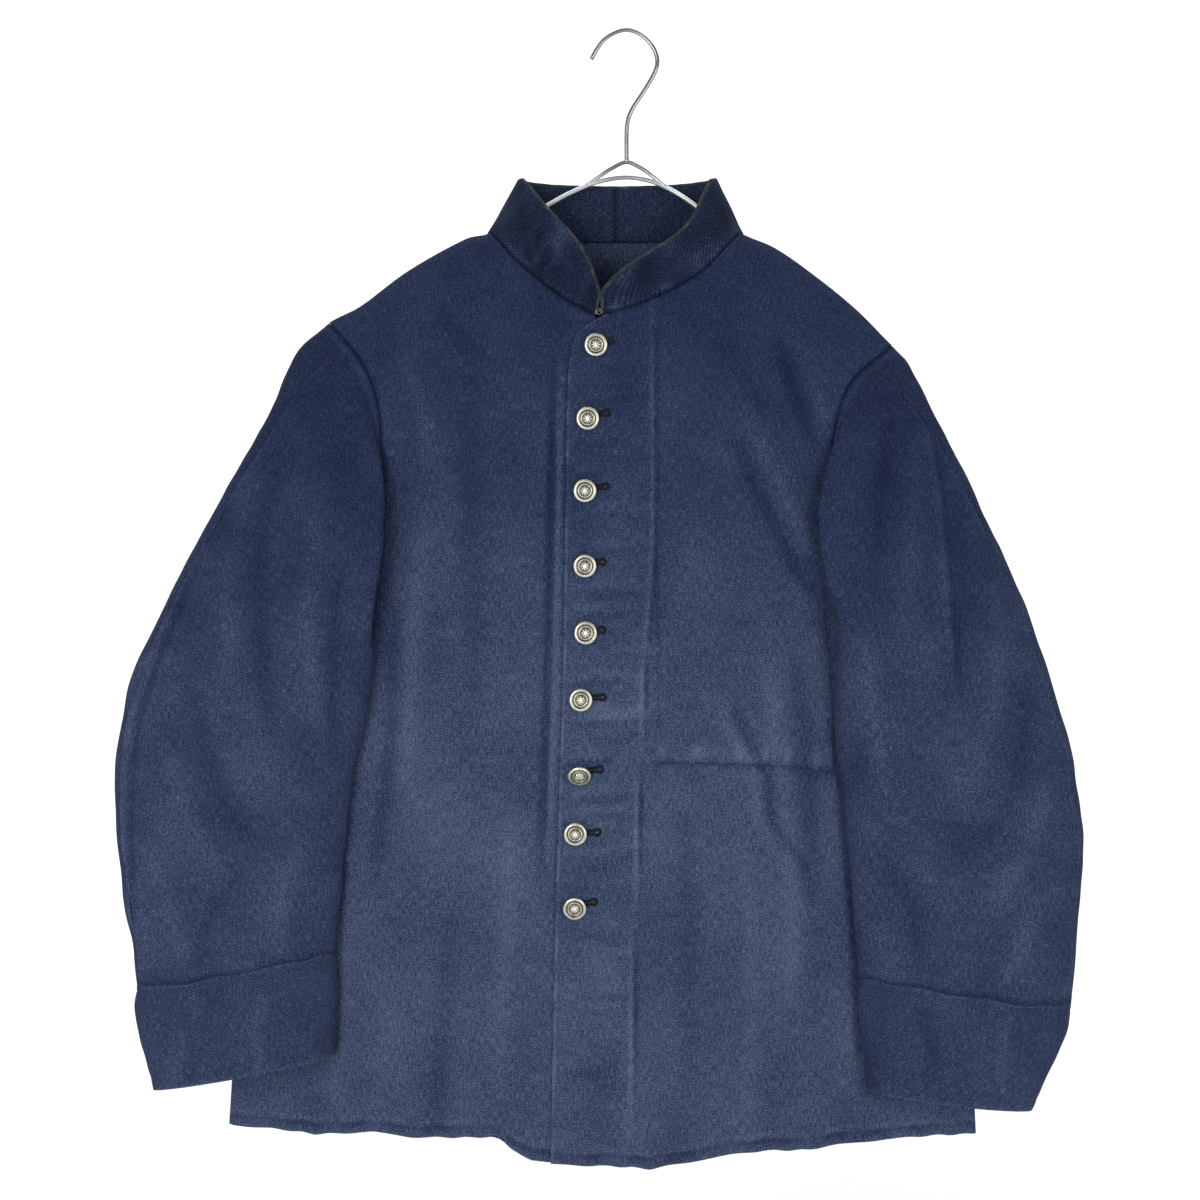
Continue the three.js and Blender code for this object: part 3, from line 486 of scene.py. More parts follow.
def through(rows):
    """A smooth curve through rows of a parameter followed by the values there."""
    table = np.array(rows, float)
    knots, values = table[:, 0], table[:, 1:]
    last = len(knots) - 1
    after = np.minimum(np.arange(last + 1) + 1, last)
    before = np.maximum(np.arange(last + 1) - 1, 0)
    slopes = (values[after] - values[before]) / (knots[after] - knots[before])[:, None]

    def at(t):
        t = np.clip(np.asarray(t, float), knots[0], knots[-1])
        i = np.clip(np.searchsorted(knots, t) - 1, 0, last - 1)
        span = (knots[i + 1] - knots[i])[..., None]
        s = (t - knots[i])[..., None] / span
        rise = (values[i + 1] - values[i]) * s * s * (3 - 2 * s)
        return values[i] + rise + span * s * (1 - s) * ((1 - s) * slopes[i] - s * slopes[i + 1])

    return at


def smooth(t):
    t = np.clip(t, 0, 1)
    return t * t * (3 - 2 * t)


def vector(x, y, z):
    return np.stack(np.broadcast_arrays(x, y, z), axis=-1)


def unit(v):
    return v / np.maximum(np.linalg.norm(v, axis=-1, keepdims=True), 1e-9)


def matched(a, b):
    """Two values as arrays of one shape."""
    return np.broadcast_arrays(np.asarray(a, float), np.asarray(b, float))


def bell(away, width):
    """1 on a line, fading to 0 beside it."""
    return np.exp(-((away / width) ** 2))


def wander(x, step, drift, strength=2):
    """A wave from -1 to 1 whose length changes along the way."""
    return np.sin(x / step + strength * np.sin(x / drift))


def folds(rows, a, b):
    """Height of soft folds at a place, each a ridge along a line that fades at both ends."""
    height = 0.0
    for a0, b0, a1, b1, width, rise in rows:
        length = math.hypot(a1 - a0, b1 - b0)
        along = ((a - a0) * (a1 - a0) + (b - b0) * (b1 - b0)) / length
        across = ((a - a0) * (b1 - b0) - (b - b0) * (a1 - a0)) / length
        share = along / length
        fade = smooth(share / FOLD_FADE + FOLD_FADE) * smooth((1 - share) / FOLD_FADE + FOLD_FADE)
        height = height + rise * fade * bell(across, width)
    return height


def beside(points, a, b):
    """Distance from a line of points, and the share of its length at the nearest place."""
    line = np.array(points, float)
    lengths = np.linalg.norm(np.diff(line, axis=0), axis=1)
    starts = np.concatenate([[0], np.cumsum(lengths)])
    best = np.full(np.shape(a), np.inf)
    share = np.zeros(np.shape(a))
    for (p, q), length, start in zip(zip(line, line[1:]), lengths, starts):
        way = (q - p) / length
        along = np.clip((a - p[0]) * way[0] + (b - p[1]) * way[1], 0, length)
        away = np.hypot(a - p[0] - along * way[0], b - p[1] - along * way[1])
        nearer = away < best
        best = np.where(nearer, away, best)
        share = np.where(nearer, (start + along) / starts[-1], share)
    return best, share


def rounded(points, steps=6):
    """The same line with its corners drawn as a curve."""
    rows = [[i, *p] for i, p in enumerate(points)]
    return through(rows)(np.linspace(0, len(points) - 1, (len(points) - 1) * steps + 1))


def curved_rows(rows, share=1.0):
    """The same creases, each drawn as a curve, at a share of their height."""
    return [[rounded(points, 3), width, rise * share] for points, width, rise in rows]


def creases(rows, a, b):
    """Height of creases at a place, each along its own curve and fading at both ends."""
    height = np.zeros(np.shape(a))
    for line, width, rise in rows:
        away, share = beside(line, a, b)
        fade = smooth(share / CREASE_FADE) * smooth((1 - share) / CREASE_FADE)
        height += rise * fade * bell(away, width)
    return height


def ripple(p, seed, wavelength, waves=14):
    """A soft uneven surface from -1 to 1 or so, the same each time, by place."""
    draw = np.random.default_rng(seed)
    total = np.zeros(p.shape[:-1])
    for _ in range(waves):
        way = unit(draw.normal(size=3) * np.array([1, 0.6, 0.8]))
        size = wavelength * draw.uniform(0.7, 1.5)
        total += np.sin(2 * math.pi * (p @ way) / size + draw.uniform(0, 2 * math.pi))
    return total / math.sqrt(waves)


def uneven(p, seed, coarse, coarse_length, fine, fine_length):
    """Coarse and fine unevenness of a cloth, by place."""
    return coarse * ripple(p, seed, coarse_length) + fine * ripple(p, seed + 1, fine_length)


crest = through(CREST)
sides = through(SIDES)


def body_depth(x, z, full, fall, rows):
    """How far the body's cloth stands in front of or behind the hanger's plane."""
    right, left = np.moveaxis(sides(z), -1, 0)
    across = (2 * x - right - left) / (left - right)
    open_share = np.maximum(1 - across * across, 0)
    from_side = np.minimum(np.maximum(1 - np.abs(across), 0) * (left - right) / 2 / SIDE_ROUND, 1)
    edge = SIDE_ROUND * np.sqrt(1 - (1 - from_side) ** 2)
    below = np.maximum(crest(x)[..., 0] - z, 0)
    depth = (edge + (full - SIDE_ROUND) * open_share ** DEPTH_POWER) * np.sqrt(1 - np.exp(-below / fall))
    return depth + folds(rows, x, z) * smooth(depth / 20)


def pulls():
    """Short uneven creases that each button draws across the lap."""
    rows = []
    draw = np.random.default_rng(PULL_SEED)
    for number, (x, z, *_) in enumerate(BUTTONS):
        for lift, width, rise in PULLS:
            pull = draw.uniform(0.25, 1.0) * (0.5 if number == 0 else 1)
            lift, slant, reach = lift + draw.uniform(-3, 3), draw.uniform(-7, 7), draw.uniform(22, 74)
            start = [x - draw.uniform(0, 16), z + lift - 2]
            middle = [x + reach * 0.4, z + lift + draw.uniform(-2, 2)]
            rows.append([[start, middle, [x + reach, z + lift + slant]], width, rise * pull])
    for z in np.arange(*LOW_PULLS):
        start, reach, slant = draw.uniform(-52, -30), draw.uniform(24, 52), draw.uniform(-5, 5)
        middle = [start + reach * 0.5, z + draw.uniform(-2, 2)]
        line = [[start, z], middle, [start + reach, z + slant]]
        rows.append([line, draw.uniform(1.9, 2.8), draw.uniform(-1.5, 0.7)])
    return rows


FRONT_RELIEF = curved_rows(FRONT_CREASES, CREASE_SHARE) + curved_rows(PLACKET_CREASES + pulls())
BACK_RELIEF = curved_rows(BACK_CREASES)


def plain_front(x, z):
    return body_depth(x, z, FRONT_DEPTH, FRONT_FALL, FRONT_FOLDS)


def front_relief(x, z):
    """Creases and unevenness that both fronts share."""
    relief = creases(FRONT_RELIEF, x, z) + uneven(vector(x, 0, z), *BODY_UNEVEN)
    return relief * smooth(plain_front(x, z) / FRONT_CREASE_DEPTH)


def front_y(x, z):
    return -plain_front(x, z) - front_relief(x, z)


def plain_back(x, z):
    return body_depth(x, z, BACK_DEPTH, BACK_FALL, BACK_FOLDS)


def back_relief(x, z):
    relief = creases(BACK_RELIEF, x, z) + uneven(vector(x, BACK_UNEVEN_Y, z), *BODY_UNEVEN)
    return relief * smooth(plain_back(x, z) / BACK_CREASE_DEPTH)


def back_y(x, z):
    return plain_back(x, z) + back_relief(x, z)


def outer_edge(side, armhole):
    """Outer edge of a body panel at a level: side seam, then armhole, then shoulder."""
    seam, hole, ridge = through(side["side"]), through(side[armhole]), through(side["shoulder"])

    def at(v):
        v = np.asarray(v, float)
        low_z = seam(v)[..., 1]
        low_x = sides(low_z)[..., side["index"]]
        high_x = ridge(v)[..., 0]
        x = np.where(v <= UNDERARM, low_x, np.where(v <= SHOULDER, hole(v)[..., 0], high_x))
        z = np.where(v <= UNDERARM, low_z, np.where(v <= SHOULDER, hole(v)[..., 1], crest(high_x)[..., 0]))
        return x, z

    return at


def front_panel(side, lapped):
    """A front panel: u runs from the side to the middle, v up the levels."""
    outer = outer_edge(side, "armhole")
    middle, neck = through(side["middle"]), through(side["neckline"])

    def at(u, v, relief=True):
        u, v = matched(u, v)
        xa, za = outer(v)
        inner = np.where((v <= SHOULDER)[..., None], middle(v), neck(v))
        share = u ** FRONT_SPACING
        x = xa + (inner[..., 0] - xa) * share
        z = za + (inner[..., 1] - za) * share
        return on_front(x, z, lapped, relief)

    return at


def on_front(x, z, lapped, relief=True):
    """The place on a front's outer face."""
    lift = LAP * smooth((LAP_END_X - x) / (LAP_END_X - LAP_FULL_X)) if lapped else 0
    y = front_y(x, z) if relief else -plain_front(x, z)
    sewing = left_sewing(x, z) if lapped and relief else 0
    return vector(x, y - lift - sewing, z)


def from_facing(x, z):
    """How far a place lies beyond the line that sews the facing, towards the side."""
    line = np.array(FACING_LINE, float)
    return x - np.interp(-z, -line[:, 1], line[:, 0])


def pocket_foot_z(x):
    line = np.array(POCKET_FOOT, float)
    return np.interp(x, line[:, 0], line[:, 1])


def left_sewing(x, z):
    """Dents and rolls that the lines of sewing give the left front."""
    height = np.zeros(np.shape(x))
    for line, dent, near, *_ in SEWN_LINES:
        away, share = beside(rounded(line), x, z)
        length = np.linalg.norm(np.diff(np.array(line, float), axis=0), axis=1).sum()
        tight = 0.9 + 0.1 * np.sin(share * length / 9 + np.sin(share * 21))
        height -= dent * tight * bell(away, near)
    height += 0.5 * bell(from_facing(x, z) + 4, 2.6)
    over_pocket = smooth((x - 20) / 6) * smooth((158 - x) / 6)
    height += 1.1 * bell(z - pocket_foot_z(x) - 5, 3.5) * over_pocket
    return height


front_right = front_panel(RIGHT, False)
front_left = front_panel(LEFT, True)
back_right_edge = outer_edge(RIGHT, "back_armhole")
back_left_edge = outer_edge(LEFT, "back_armhole")


def back(u, v, relief=True):
    """The back panel: u runs from the right side to the left, v up the levels."""
    u, v = matched(u, v)
    xa, za = back_right_edge(v)
    xb, zb = back_left_edge(v)
    share = (1 - np.cos(math.pi * u)) / 2
    x = xa + (xb - xa) * share
    dip = NECK_DIP * 4 * share * (1 - share) * smooth(v - SHOULDER)
    z = za + (zb - za) * share - dip
    y = back_y(x, z) if relief else plain_back(x, z)
    return vector(x, y, z)


def sleeve_ring(rows):
    """A point of a sleeve or a cuff: turn 0 to 1 runs down the front, 1 to 2 back up behind."""
    ring = through(rows)

    def at(turn, r):
        turn, r = matched(turn, r)
        here = np.moveaxis(ring(r), -1, 0)
        outer, inner = here[:3], here[3:6]
        reach_front, reach_back, deep_front, deep_back = here[6:]
        front = turn <= 1
        q = np.where(front, turn, 2 - turn)
        bow = (1 - np.cos(math.pi * q)) / 2
        w = np.where(front, bow, 0.6 * q + 0.4 * bow)
        swell = np.maximum(np.sin(math.pi * q), 0) ** SLEEVE_ROUND
        reach = np.where(front, reach_front, reach_back) * np.sin(math.pi * w)
        deep = np.where(front, -deep_front - folds(SLEEVE_FOLDS, r, q), deep_back)
        x, y, z = outer + (inner - outer) * w
        return vector(x + reach, y + deep * swell, z)

    return at


def on_armhole(turn):
    """Where the armhole, as one loop by the sleeve's turn, lies on the panels."""
    step = (turn - 1) * BACK_STEPS
    front = step <= LOW_STEPS
    down = SHOULDER - (SHOULDER - ARMHOLE_FOOT) * turn
    low = ARMHOLE_FOOT - (ARMHOLE_FOOT - UNDERARM) * step / LOW_STEPS
    up = UNDERARM + (SHOULDER - UNDERARM) * (step - LOW_STEPS) / (BACK_STEPS - LOW_STEPS)
    return front, np.where(turn <= 1, down, np.where(front, low, up))


def armhole_loop(panel, back_u):
    """The armhole's line, and the way in the cloth that points out of the panel there."""
    def line(turn):
        front, v = on_armhole(turn)
        return np.where(front[..., None], panel(0.0, v), back(float(back_u), v))

    def outwards(turn):
        front, v = on_armhole(turn)
        near = np.clip(v, UNDERARM + 0.004, SHOULDER - 0.004)

        def pick(offset_u, offset_v):
            ahead = panel(offset_u, near + offset_v, False)
            behind = back(abs(back_u - offset_u), near + offset_v, False)
            return np.where(front[..., None], ahead, behind)

        along = pick(0.0, 0.003) - pick(0.0, -0.003)
        inwards = pick(0.01, 0.0) - pick(0.0, 0.0)
        out = unit(np.cross(along, np.cross(along, inwards)))
        return np.where((np.sum(out * inwards, axis=-1) > 0)[..., None], -out, out)

    return line, outwards


def settled_at(ring, turns, rings):
    """How far the inner fold of a sleeve or a cuff lies back to rest on the front."""
    x, y, z = np.moveaxis(ring(1.0, rings), -1, 0)
    gap = front_y(x, z) - y
    back_by = np.maximum(gap - FOLD_REST, 0) * smooth((rings - 0.08) / 0.3)
    near = bell(turns - 1, FOLD_REACH)
    return vector(0, back_by * near, 0)


def seam_wander(turns, rings):
    """How unevenly the seam between a sleeve and its cuff runs."""
    wave = 1.6 * np.sin(turns * 11 + 1.3 * np.sin(turns * 5)) + 0.7 * np.sin(turns * 31)
    return vector(0, 0, wave * bell(rings - 1, 0.06))


def sleeve(rows, panel, back_u, side):
    """A whole sleeve that starts on the armhole, hangs clear of the front and ends at the cuff seam."""
    ring = sleeve_ring(rows)
    line, outwards = armhole_loop(panel, back_u)
    edge = through(side["clear"])
    inwards = 1 if side["index"] == 0 else -1

    def at(turns, rings):
        t = turns % 2
        point = ring(t[None, :], rings[:, None])
        blend = (1 - np.minimum(rings[:, None] / np.where(t <= 1, FRONT_BLEND, BACK_BLEND), 1)) ** 2
        out = outwards(t)
        start = line(t) + SEAM * out - ring(t, 0.0)
        roll = rings / SEAM_ROLL_END * np.exp(1 - rings / SEAM_ROLL_END)
        rolled = SEAM_ROLL * roll[:, None] * (blend > 0)
        point = point + start * blend[..., None] + out * rolled[..., None]
        point = point + settled_at(ring, t[None, :], rings[:, None])
        point = point + seam_wander(t[None, :], rings[:, None])
        x, y, z = np.moveaxis(point, -1, 0)
        inside = smooth(((x - edge(z)[..., 0]) * inwards + 4) / 8)
        over = y - front_y(x, z) + SLEEVE_CLEAR
        push = CLEAR_SOFT * np.logaddexp(0, over / CLEAR_SOFT)
        return vector(x, y - push * inside * smooth(rings / CLEAR_RAMP)[:, None], z)

    return at


right_sleeve = sleeve(RIGHT_SLEEVE, front_right, 0, RIGHT)
left_sleeve = sleeve(LEFT_SLEEVE, front_left, 1, LEFT)


def neckline(u):
    """Neckline from the right front end round the back to the left front end, u from 0 to 3."""
    u = np.asarray(u, float)
    right = front_right(1.0, SHOULDER + np.clip(u, 0, 1), False)
    behind = back(np.clip(u - 1, 0, 1), float(NECK), False)
    left = front_left(1.0, NECK + 2 - np.clip(u, 2, 3), False)
    return np.where((u <= 1)[..., None], right, np.where((u <= 2)[..., None], behind, left))


right_rise = through(RIGHT_RISE)
left_rise = through(LEFT_RISE)


def collar(u, v):
    """The collar stands on the neckline: v runs from its base to its top edge."""
    u, v = matched(u, v)
    share = np.clip(u - 1, 0, 1)
    right, left = right_rise(1 - np.clip(u, 0, 1)), left_rise(np.clip(u - 2, 0, 1))
    ends = np.where((u < COLLAR_MIDDLE)[..., None], right, left)
    middle = np.sin(math.pi * share)[..., None] ** 2
    rise = ends + (np.array(BACK_RISE, float) - ends) * middle
    length = np.linalg.norm(rise, axis=-1)
    return neckline(u) + unit(rise) * (COLLAR_GAP + (length - COLLAR_GAP) * v)[..., None]


def normals(grid, out, closed=False):
    """Unit normals of a grid of points, on the side that out names at the middle."""
    if closed:
        across = np.roll(grid, -1, axis=1) - np.roll(grid, 1, axis=1)
    else:
        across = np.gradient(grid, axis=1)
    normal = unit(np.cross(across, np.gradient(grid, axis=0)))
    rows, columns = grid.shape[:2]
    if np.dot(normal[rows // 2, columns // 2], out) < 0:
        normal = -normal
    return normal


def lengths_along(grid, axis):
    """How far along the cloth each point of a grid lies, from the first one."""
    steps = np.linalg.norm(np.diff(grid, axis=axis), axis=-1)
    first = np.zeros_like(np.take(steps, [0], axis=axis))
    return np.concatenate([first, np.cumsum(steps, axis=axis)], axis=axis)


def cloth_lengths(grid):
    """Weave coordinates that follow the cloth both ways."""
    return np.stack([lengths_along(grid, 1), lengths_along(grid, 0)], axis=-1)


def placed(name, data):
    thing = bpy.data.objects.new(name, data)
    bpy.context.scene.collection.objects.link(thing)
    return thing


def set_tone(piece, values):
    """How worn each point of a piece is, with the painted shade and painted highlights that the same tone
    carries.
    """
    wear = piece.data.attributes.new("tone", "FLOAT", "POINT")
    wear.data.foreach_set("value", values)


def new_object(name, verts, faces, material, slot, nodes=()):
    """A smooth mesh object in metres that rides with the part."""
    mesh = bpy.data.meshes.new(name)
    mesh.from_pydata((np.asarray(verts, float) * MM).tolist(), [], [list(f) for f in faces])
    mesh.polygons.foreach_set("use_smooth", [True] * len(mesh.polygons))
    mesh.materials.append(material)
    mesh.update()
    piece = placed(name, mesh)
    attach(piece, ROOT)
    if nodes:
        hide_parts(*nodes)
    return piece


def shell(name, outer, inner, uv, tone, material, slot, closed=False, inside_painted_light=0.0):
    """Cloth between two grids of points, with its weave's coordinates and its tone of wear, painted light
    and painted shade.
    """
    rows, columns = outer.shape[:2]
    j, i = np.mgrid[0:rows - 1, 0:columns if closed else columns - 1]
    j, i = j.ravel(), i.ravel()
    k = (i + 1) % columns
    count = rows * columns
    a, b, c, d = j * columns + i, j * columns + k, (j + 1) * columns + k, (j + 1) * columns + i
    face = np.stack([a, b, c, d], axis=1)
    back_face = np.stack([a, d, c, b], axis=1) + count
    corner = np.stack([uv[j, i], uv[j, i + 1], uv[j + 1, i + 1], uv[j + 1, i]], axis=1)
    back_corner = corner[:, [0, 3, 2, 1]]
    rim, rim_corner = [], []

    def add_rim(p, q, uv_p, uv_q):
        rim.append(np.stack([p, p + count, q + count, q], axis=1))
        rim_corner.append(np.stack([uv_p, uv_p, uv_q, uv_q], axis=1))

    n = np.arange(columns if closed else columns - 1)
    m = (n + 1) % columns
    last = (rows - 1) * columns
    add_rim(n, m, uv[0, n], uv[0, n + 1])
    add_rim(last + m, last + n, uv[-1, n + 1], uv[-1, n])
    if not closed:
        r = np.arange(rows - 1)
        add_rim((r + 1) * columns, r * columns, uv[r + 1, 0], uv[r, 0])
        end = columns - 1
        add_rim(r * columns + end, (r + 1) * columns + end, uv[r, end], uv[r + 1, end])
    faces = np.concatenate([face, back_face, *rim])
    corners = np.concatenate([corner, back_corner, *rim_corner])
    verts = np.concatenate([outer.reshape(-1, 3), inner.reshape(-1, 3)])
    middle = face[len(face) // 2]
    p = verts[middle]
    if np.dot(np.cross(p[1] - p[0], p[2] - p[0]), p[0] - verts[middle[0] + count]) < 0:
        faces, corners = faces[:, ::-1], corners[:, ::-1]
    piece = new_object(name, verts, faces.tolist(), material, slot, [name])
    layer = piece.data.uv_layers.new(name="weave")
    layer.data.foreach_set("uv", (corners.reshape(-1, 2) * MM).ravel())
    # The inner face takes half the tone, plus painted light where the inside lies in shade
    set_tone(piece, np.concatenate([tone.ravel(), tone.ravel() * 0.5 + inside_painted_light]))
    piece.name = name
    return piece


def edge_wear_and_shade(grid, rows):
    """Wear, or painted shade where a strength is below 0, that fades within a distance of some edges of a
    grid.
    """
    wear = np.zeros(grid.shape[:2])
    for near, axis, end, strength in rows:
        along = lengths_along(grid, axis)
        total = np.take(along, [-1], axis=axis)
        wear += strength * bell(along if end == 0 else total - along, near)
    return wear


def edge_ridge(grid, away, near, strength):
    """Wear on the ridge that runs beside the first edge of a grid."""
    along = lengths_along(grid, 0)
    return strength * bell(along - away, near)


# Painted light on the ridges of creases and painted shade in their hollows
def painted_crease_shading(relief):
    return np.clip(relief * CREASE_PAINTED_SHADING, *CREASE_PAINTED_SHADING_LIMITS)


def woven(grid, slant=0.0):
    """Weave coordinates that run straight down a piece and follow it round where it turns away."""
    c, s = math.cos(slant), math.sin(slant)
    x, y, z = np.moveaxis(grid, -1, 0)
    flat = x * c - z * s
    ahead, aside = np.diff(flat, axis=1), np.diff(x, axis=1)
    turned = np.maximum(np.hypot(aside, np.diff(y, axis=1)) - TURNED_AWAY * np.abs(aside), 0)
    steps = ahead + np.sign(ahead) * turned
    along = np.concatenate([np.zeros_like(steps[:, :1]), np.cumsum(steps, axis=1)], axis=1)
    middle = slice(x.shape[1] // 2, x.shape[1] // 2 + 1)
    return np.stack([flat[:, middle] + along - along[:, middle], x * s + z * c], axis=-1)


def hem_roll(grid, out, drop):
    """The turned and stitched hem, with a dent at the stitches and a soft wave below."""
    up = lengths_along(grid, 0)
    x = grid[..., 0]
    hung = np.array(drop, float)
    ragged = 0.5 * wander(x, 5, 19)
    lower = (np.interp(x, hung[:, 0], hung[:, 1]) + ragged) * bell(up, 34)
    grid = grid + vector(0, 0, lower)
    wave = wander(x, 13, 37, 1) * 1.2 * bell(up, 16)
    dent = -0.5 * bell(up - HEM_STITCH, 1.4)
    pucker = 0.22 * wander(x, 1.9, 11) * bell(up - HEM_STITCH, 5)
    fade = smooth(np.abs(grid[..., 1]) / 16)
    return grid + out * ((wave + dent + pucker) * fade)[..., None]


def hem_line(grid, out):
    """The line of the hem's stitches on a panel, with the cloth's normals."""
    up = lengths_along(grid, 0)
    row = np.abs(up - HEM_STITCH).argmin(axis=0)
    columns = np.arange(grid.shape[1])
    normal = normals(grid, out)
    return grid[row, columns], normal[row, columns]


def hem_tone(grid):
    """A rubbed lower edge, a painted highlight above the hem's stitches, painted shade in their dent, and a
    darker band below them.
    """
    up = lengths_along(grid, 0)
    x = grid[..., 0]
    # Uneven strength along the hem, for its wear and its painted light and shade alike
    rubbed = 0.6 + 0.4 * wander(x, 7, 29)
    # Painted shade in the stitches' dent, and a darker band below them
    dark = 0.45 * bell(up - HEM_STITCH, 1.6) + 0.12 * smooth((HEM_STITCH - up) / 2)
    # Wear on the lower edge, and a painted highlight on the roll above the stitches
    return (0.4 * bell(up, 1.8) + 0.2 * bell(up - 11, 2) - dark) * rubbed


def make_fronts(material):
    hems = []
    for name, panel, lapped, columns in (
        ("front_right", front_right, False, FRONT_COLUMNS[0]),
        ("front_left", front_left, True, FRONT_COLUMNS[1]),
    ):
        u, v = np.meshgrid(np.linspace(0, 1, columns), BODY_LEVELS)
        grid = hem_roll(panel(u, v), FORWARD, HEM_DROPS[name])
        inner = grid - normals(grid, FORWARD) * CLOTH
        x, z = grid[..., 0], grid[..., 2]
        # Painted light and shade of the creases, and the hem's wear, painted highlight and painted shade
        tone = painted_crease_shading(front_relief(x, z)) + hem_tone(grid)
        rubbed = 0.6 + 0.4 * wander(z, 6, 23)
        # Wear on the middle edge, and painted shade along the outer edge's seams
        tone += edge_wear_and_shade(grid, FRONT_MIDDLE_EDGES[name]) * rubbed + edge_wear_and_shade(grid, FRONT_SIDE_SHADE)
        # Painted shade along the neckline, in the corner under the collar's foot
        tone -= 0.5 * np.exp(-(((1 - u) * 60) ** 2)) * smooth((v - SHOULDER) / 0.02)
        if lapped:
            tone += front_left_tone(x, z)
        # Painted shadow of each sleeve's inner fold on the front
        for line in SLEEVE_SHADOW_LINES:
            tone -= SLEEVE_SHADOW_STRENGTH * bell(beside(line, x, z)[0], SLEEVE_SHADOW_WIDTH)
        shell(name, grid, inner, woven(grid), tone, material, "twill")
        hems.append(hem_line(grid, FORWARD))
    return hems


def front_left_tone(x, z):
    """Painted shade in the dents of the sewn lines of the left front, and wear beside them."""
    tone = np.zeros(np.shape(x))
    # Painted shade in the dent of each sewn line
    for line, *_, dark, near in SEWN_LINES:
        tone -= dark * bell(beside(rounded(line), x, z)[0], near)
    tone += 0.42 * bell(from_facing(x, z) + 2.6, 1.6)
    above = z - pocket_foot_z(x)
    rubbed = bell(above - 8, 6) * smooth((x - 18) / 8) * smooth((158 - x) / 12)
    spots = np.maximum(wander(x, 3.7, 17, 1.8), 0) ** 2
    tone += rubbed * (0.08 + 0.4 * spots)
    worn = bell(z + 508, 6) * smooth((x + 40) / 30) * smooth((20 - x) / 14)
    return tone + 0.3 * worn


def make_back(material):
    u, v = np.meshgrid(np.linspace(0, 1, BACK_COLUMNS), BODY_LEVELS)
    grid = hem_roll(back(u, v), BACKWARD, HEM_DROPS["back"])
    inner = grid - normals(grid, BACKWARD) * CLOTH
    # Painted light and shade of the back's creases, and the hem's tone
    tone = 0.6 * painted_crease_shading(back_relief(grid[..., 0], grid[..., 2])) + hem_tone(grid)
    shell("back", grid, inner, woven(grid), tone, material, "twill", inside_painted_light=BACK_INSIDE_PAINTED_LIGHT)
    return hem_line(grid, BACKWARD)


def sleeve_grid(point, turns, rings, rows, out, side_rows, seed):
    """Points of a sleeve piece, pushed out and in by its creases, and their height."""
    turn, r = np.meshgrid(turns, rings)
    plain = point(turns, rings)
    x, z = plain[..., 0], plain[..., 2]
    normal = normals(plain, out)
    relief = creases(curved_rows(rows, SLEEVE_CREASE_SHARE), x, z) * side_rows
    relief = relief + uneven(plain, seed, *SLEEVE_UNEVEN)
    ends = smooth(r / 0.06) * smooth((1 - r) / 0.03)
    relief = relief + 0.45 * wander(z, 5.2, 23) * bell(turn, 0.2)
    pucker = 0.35 * np.sin(turn * 90 + 3 * np.sin(turn * 17)) * bell(r - 0.025, 0.022)
    return plain + normal * (relief * ends + pucker * smooth(r / 0.01))[..., None], relief


def make_sleeves(material):
    fore = np.linspace(1 / FRONT_STEPS, 1 + 1 / BACK_STEPS, SLEEVE_COLUMNS)
    under = np.linspace(1 + 1 / BACK_STEPS, 2 + 1 / FRONT_STEPS, SLEEVE_COLUMNS)
    rings = np.linspace(0, 1, SLEEVE_RINGS) ** RING_SPACING
    for side, point, rows, slant in (
        ("right", right_sleeve, RIGHT_SLEEVE_CREASES, -0.13),
        ("left", left_sleeve, LEFT_SLEEVE_CREASES, 0.1),
    ):
        for part, turns, outwards, way, seed in (
            ("upper", fore, FORWARD, 1, 11),
            ("under", under, BACKWARD, -0.8, 21),
        ):
            grid, relief = sleeve_grid(point, turns, rings, rows, outwards, way, seed)
            inner = grid - normals(grid, outwards) * SLEEVE_CLOTH
            # Painted light and shade of the creases, painted shade in the armhole and cuff seams, and wear
            # on the sleeve seams
            tone = SLEEVE_TONE + painted_crease_shading(relief) + edge_wear_and_shade(grid, SLEEVE_EDGE_SHADE_AND_WEAR)
            # Painted shade on the sleeve just behind its inner fold, in the gap over the front
            tone -= 0.7 * bell(turns - 1.035, 0.03) * smooth((rings[:, None] - 0.1) / 0.1)
            tone += edge_ridge(grid, 4.5, 2.2, 0.25)
            shell(f"sleeve_{side}_{part}", grid, inner, woven(grid, slant), tone, material, "twill")


def cuff_surface(rows):
    """A cuff as a surface of its turn and ring, settled on the front."""
    ring = sleeve_ring(rows)

    def at(turn, r):
        turn, r = matched(np.asarray(turn, float) % 2, r)
        return ring(turn, r) + settled_at(ring, turn, r) + seam_wander(turn, r)

    return at


def make_cuffs(material):
    turns = np.linspace(0, 2, CUFF_COLUMNS + 1)[:-1]
    rings = np.linspace(1, 2, CUFF_RINGS)
    for side, rows in (("right", RIGHT_CUFF), ("left", LEFT_CUFF)):
        turn, r = np.meshgrid(turns, rings)
        plain = cuff_surface(rows)(turn, r)
        normal = normals(plain, BACKWARD, closed=True)
        relief = creases(curved_rows(CUFF_CREASES), plain[..., 0], plain[..., 2])
        relief += uneven(plain, *CUFF_UNEVEN)
        edges = smooth((r - 1) / 0.1) * smooth((2 - r) / 0.03)
        dent = -0.4 * sum(bell(r - line, 0.018) for line in CUFF_STITCHES)
        grid = plain + normal * (relief * edges + dent)[..., None]
        inner = grid - normals(grid, BACKWARD, closed=True) * CUFF_CLOTH
        uv = cloth_lengths(np.concatenate([grid, grid[:, :1]], axis=1))
        # Painted light and shade of the cuff's creases, and wear on its edges
        tone = CUFF_TONE + painted_crease_shading(relief) + edge_wear_and_shade(grid, CUFF_EDGES)
        shell(f"cuff_{side}", grid, inner, uv, tone, material, "twill", closed=True)


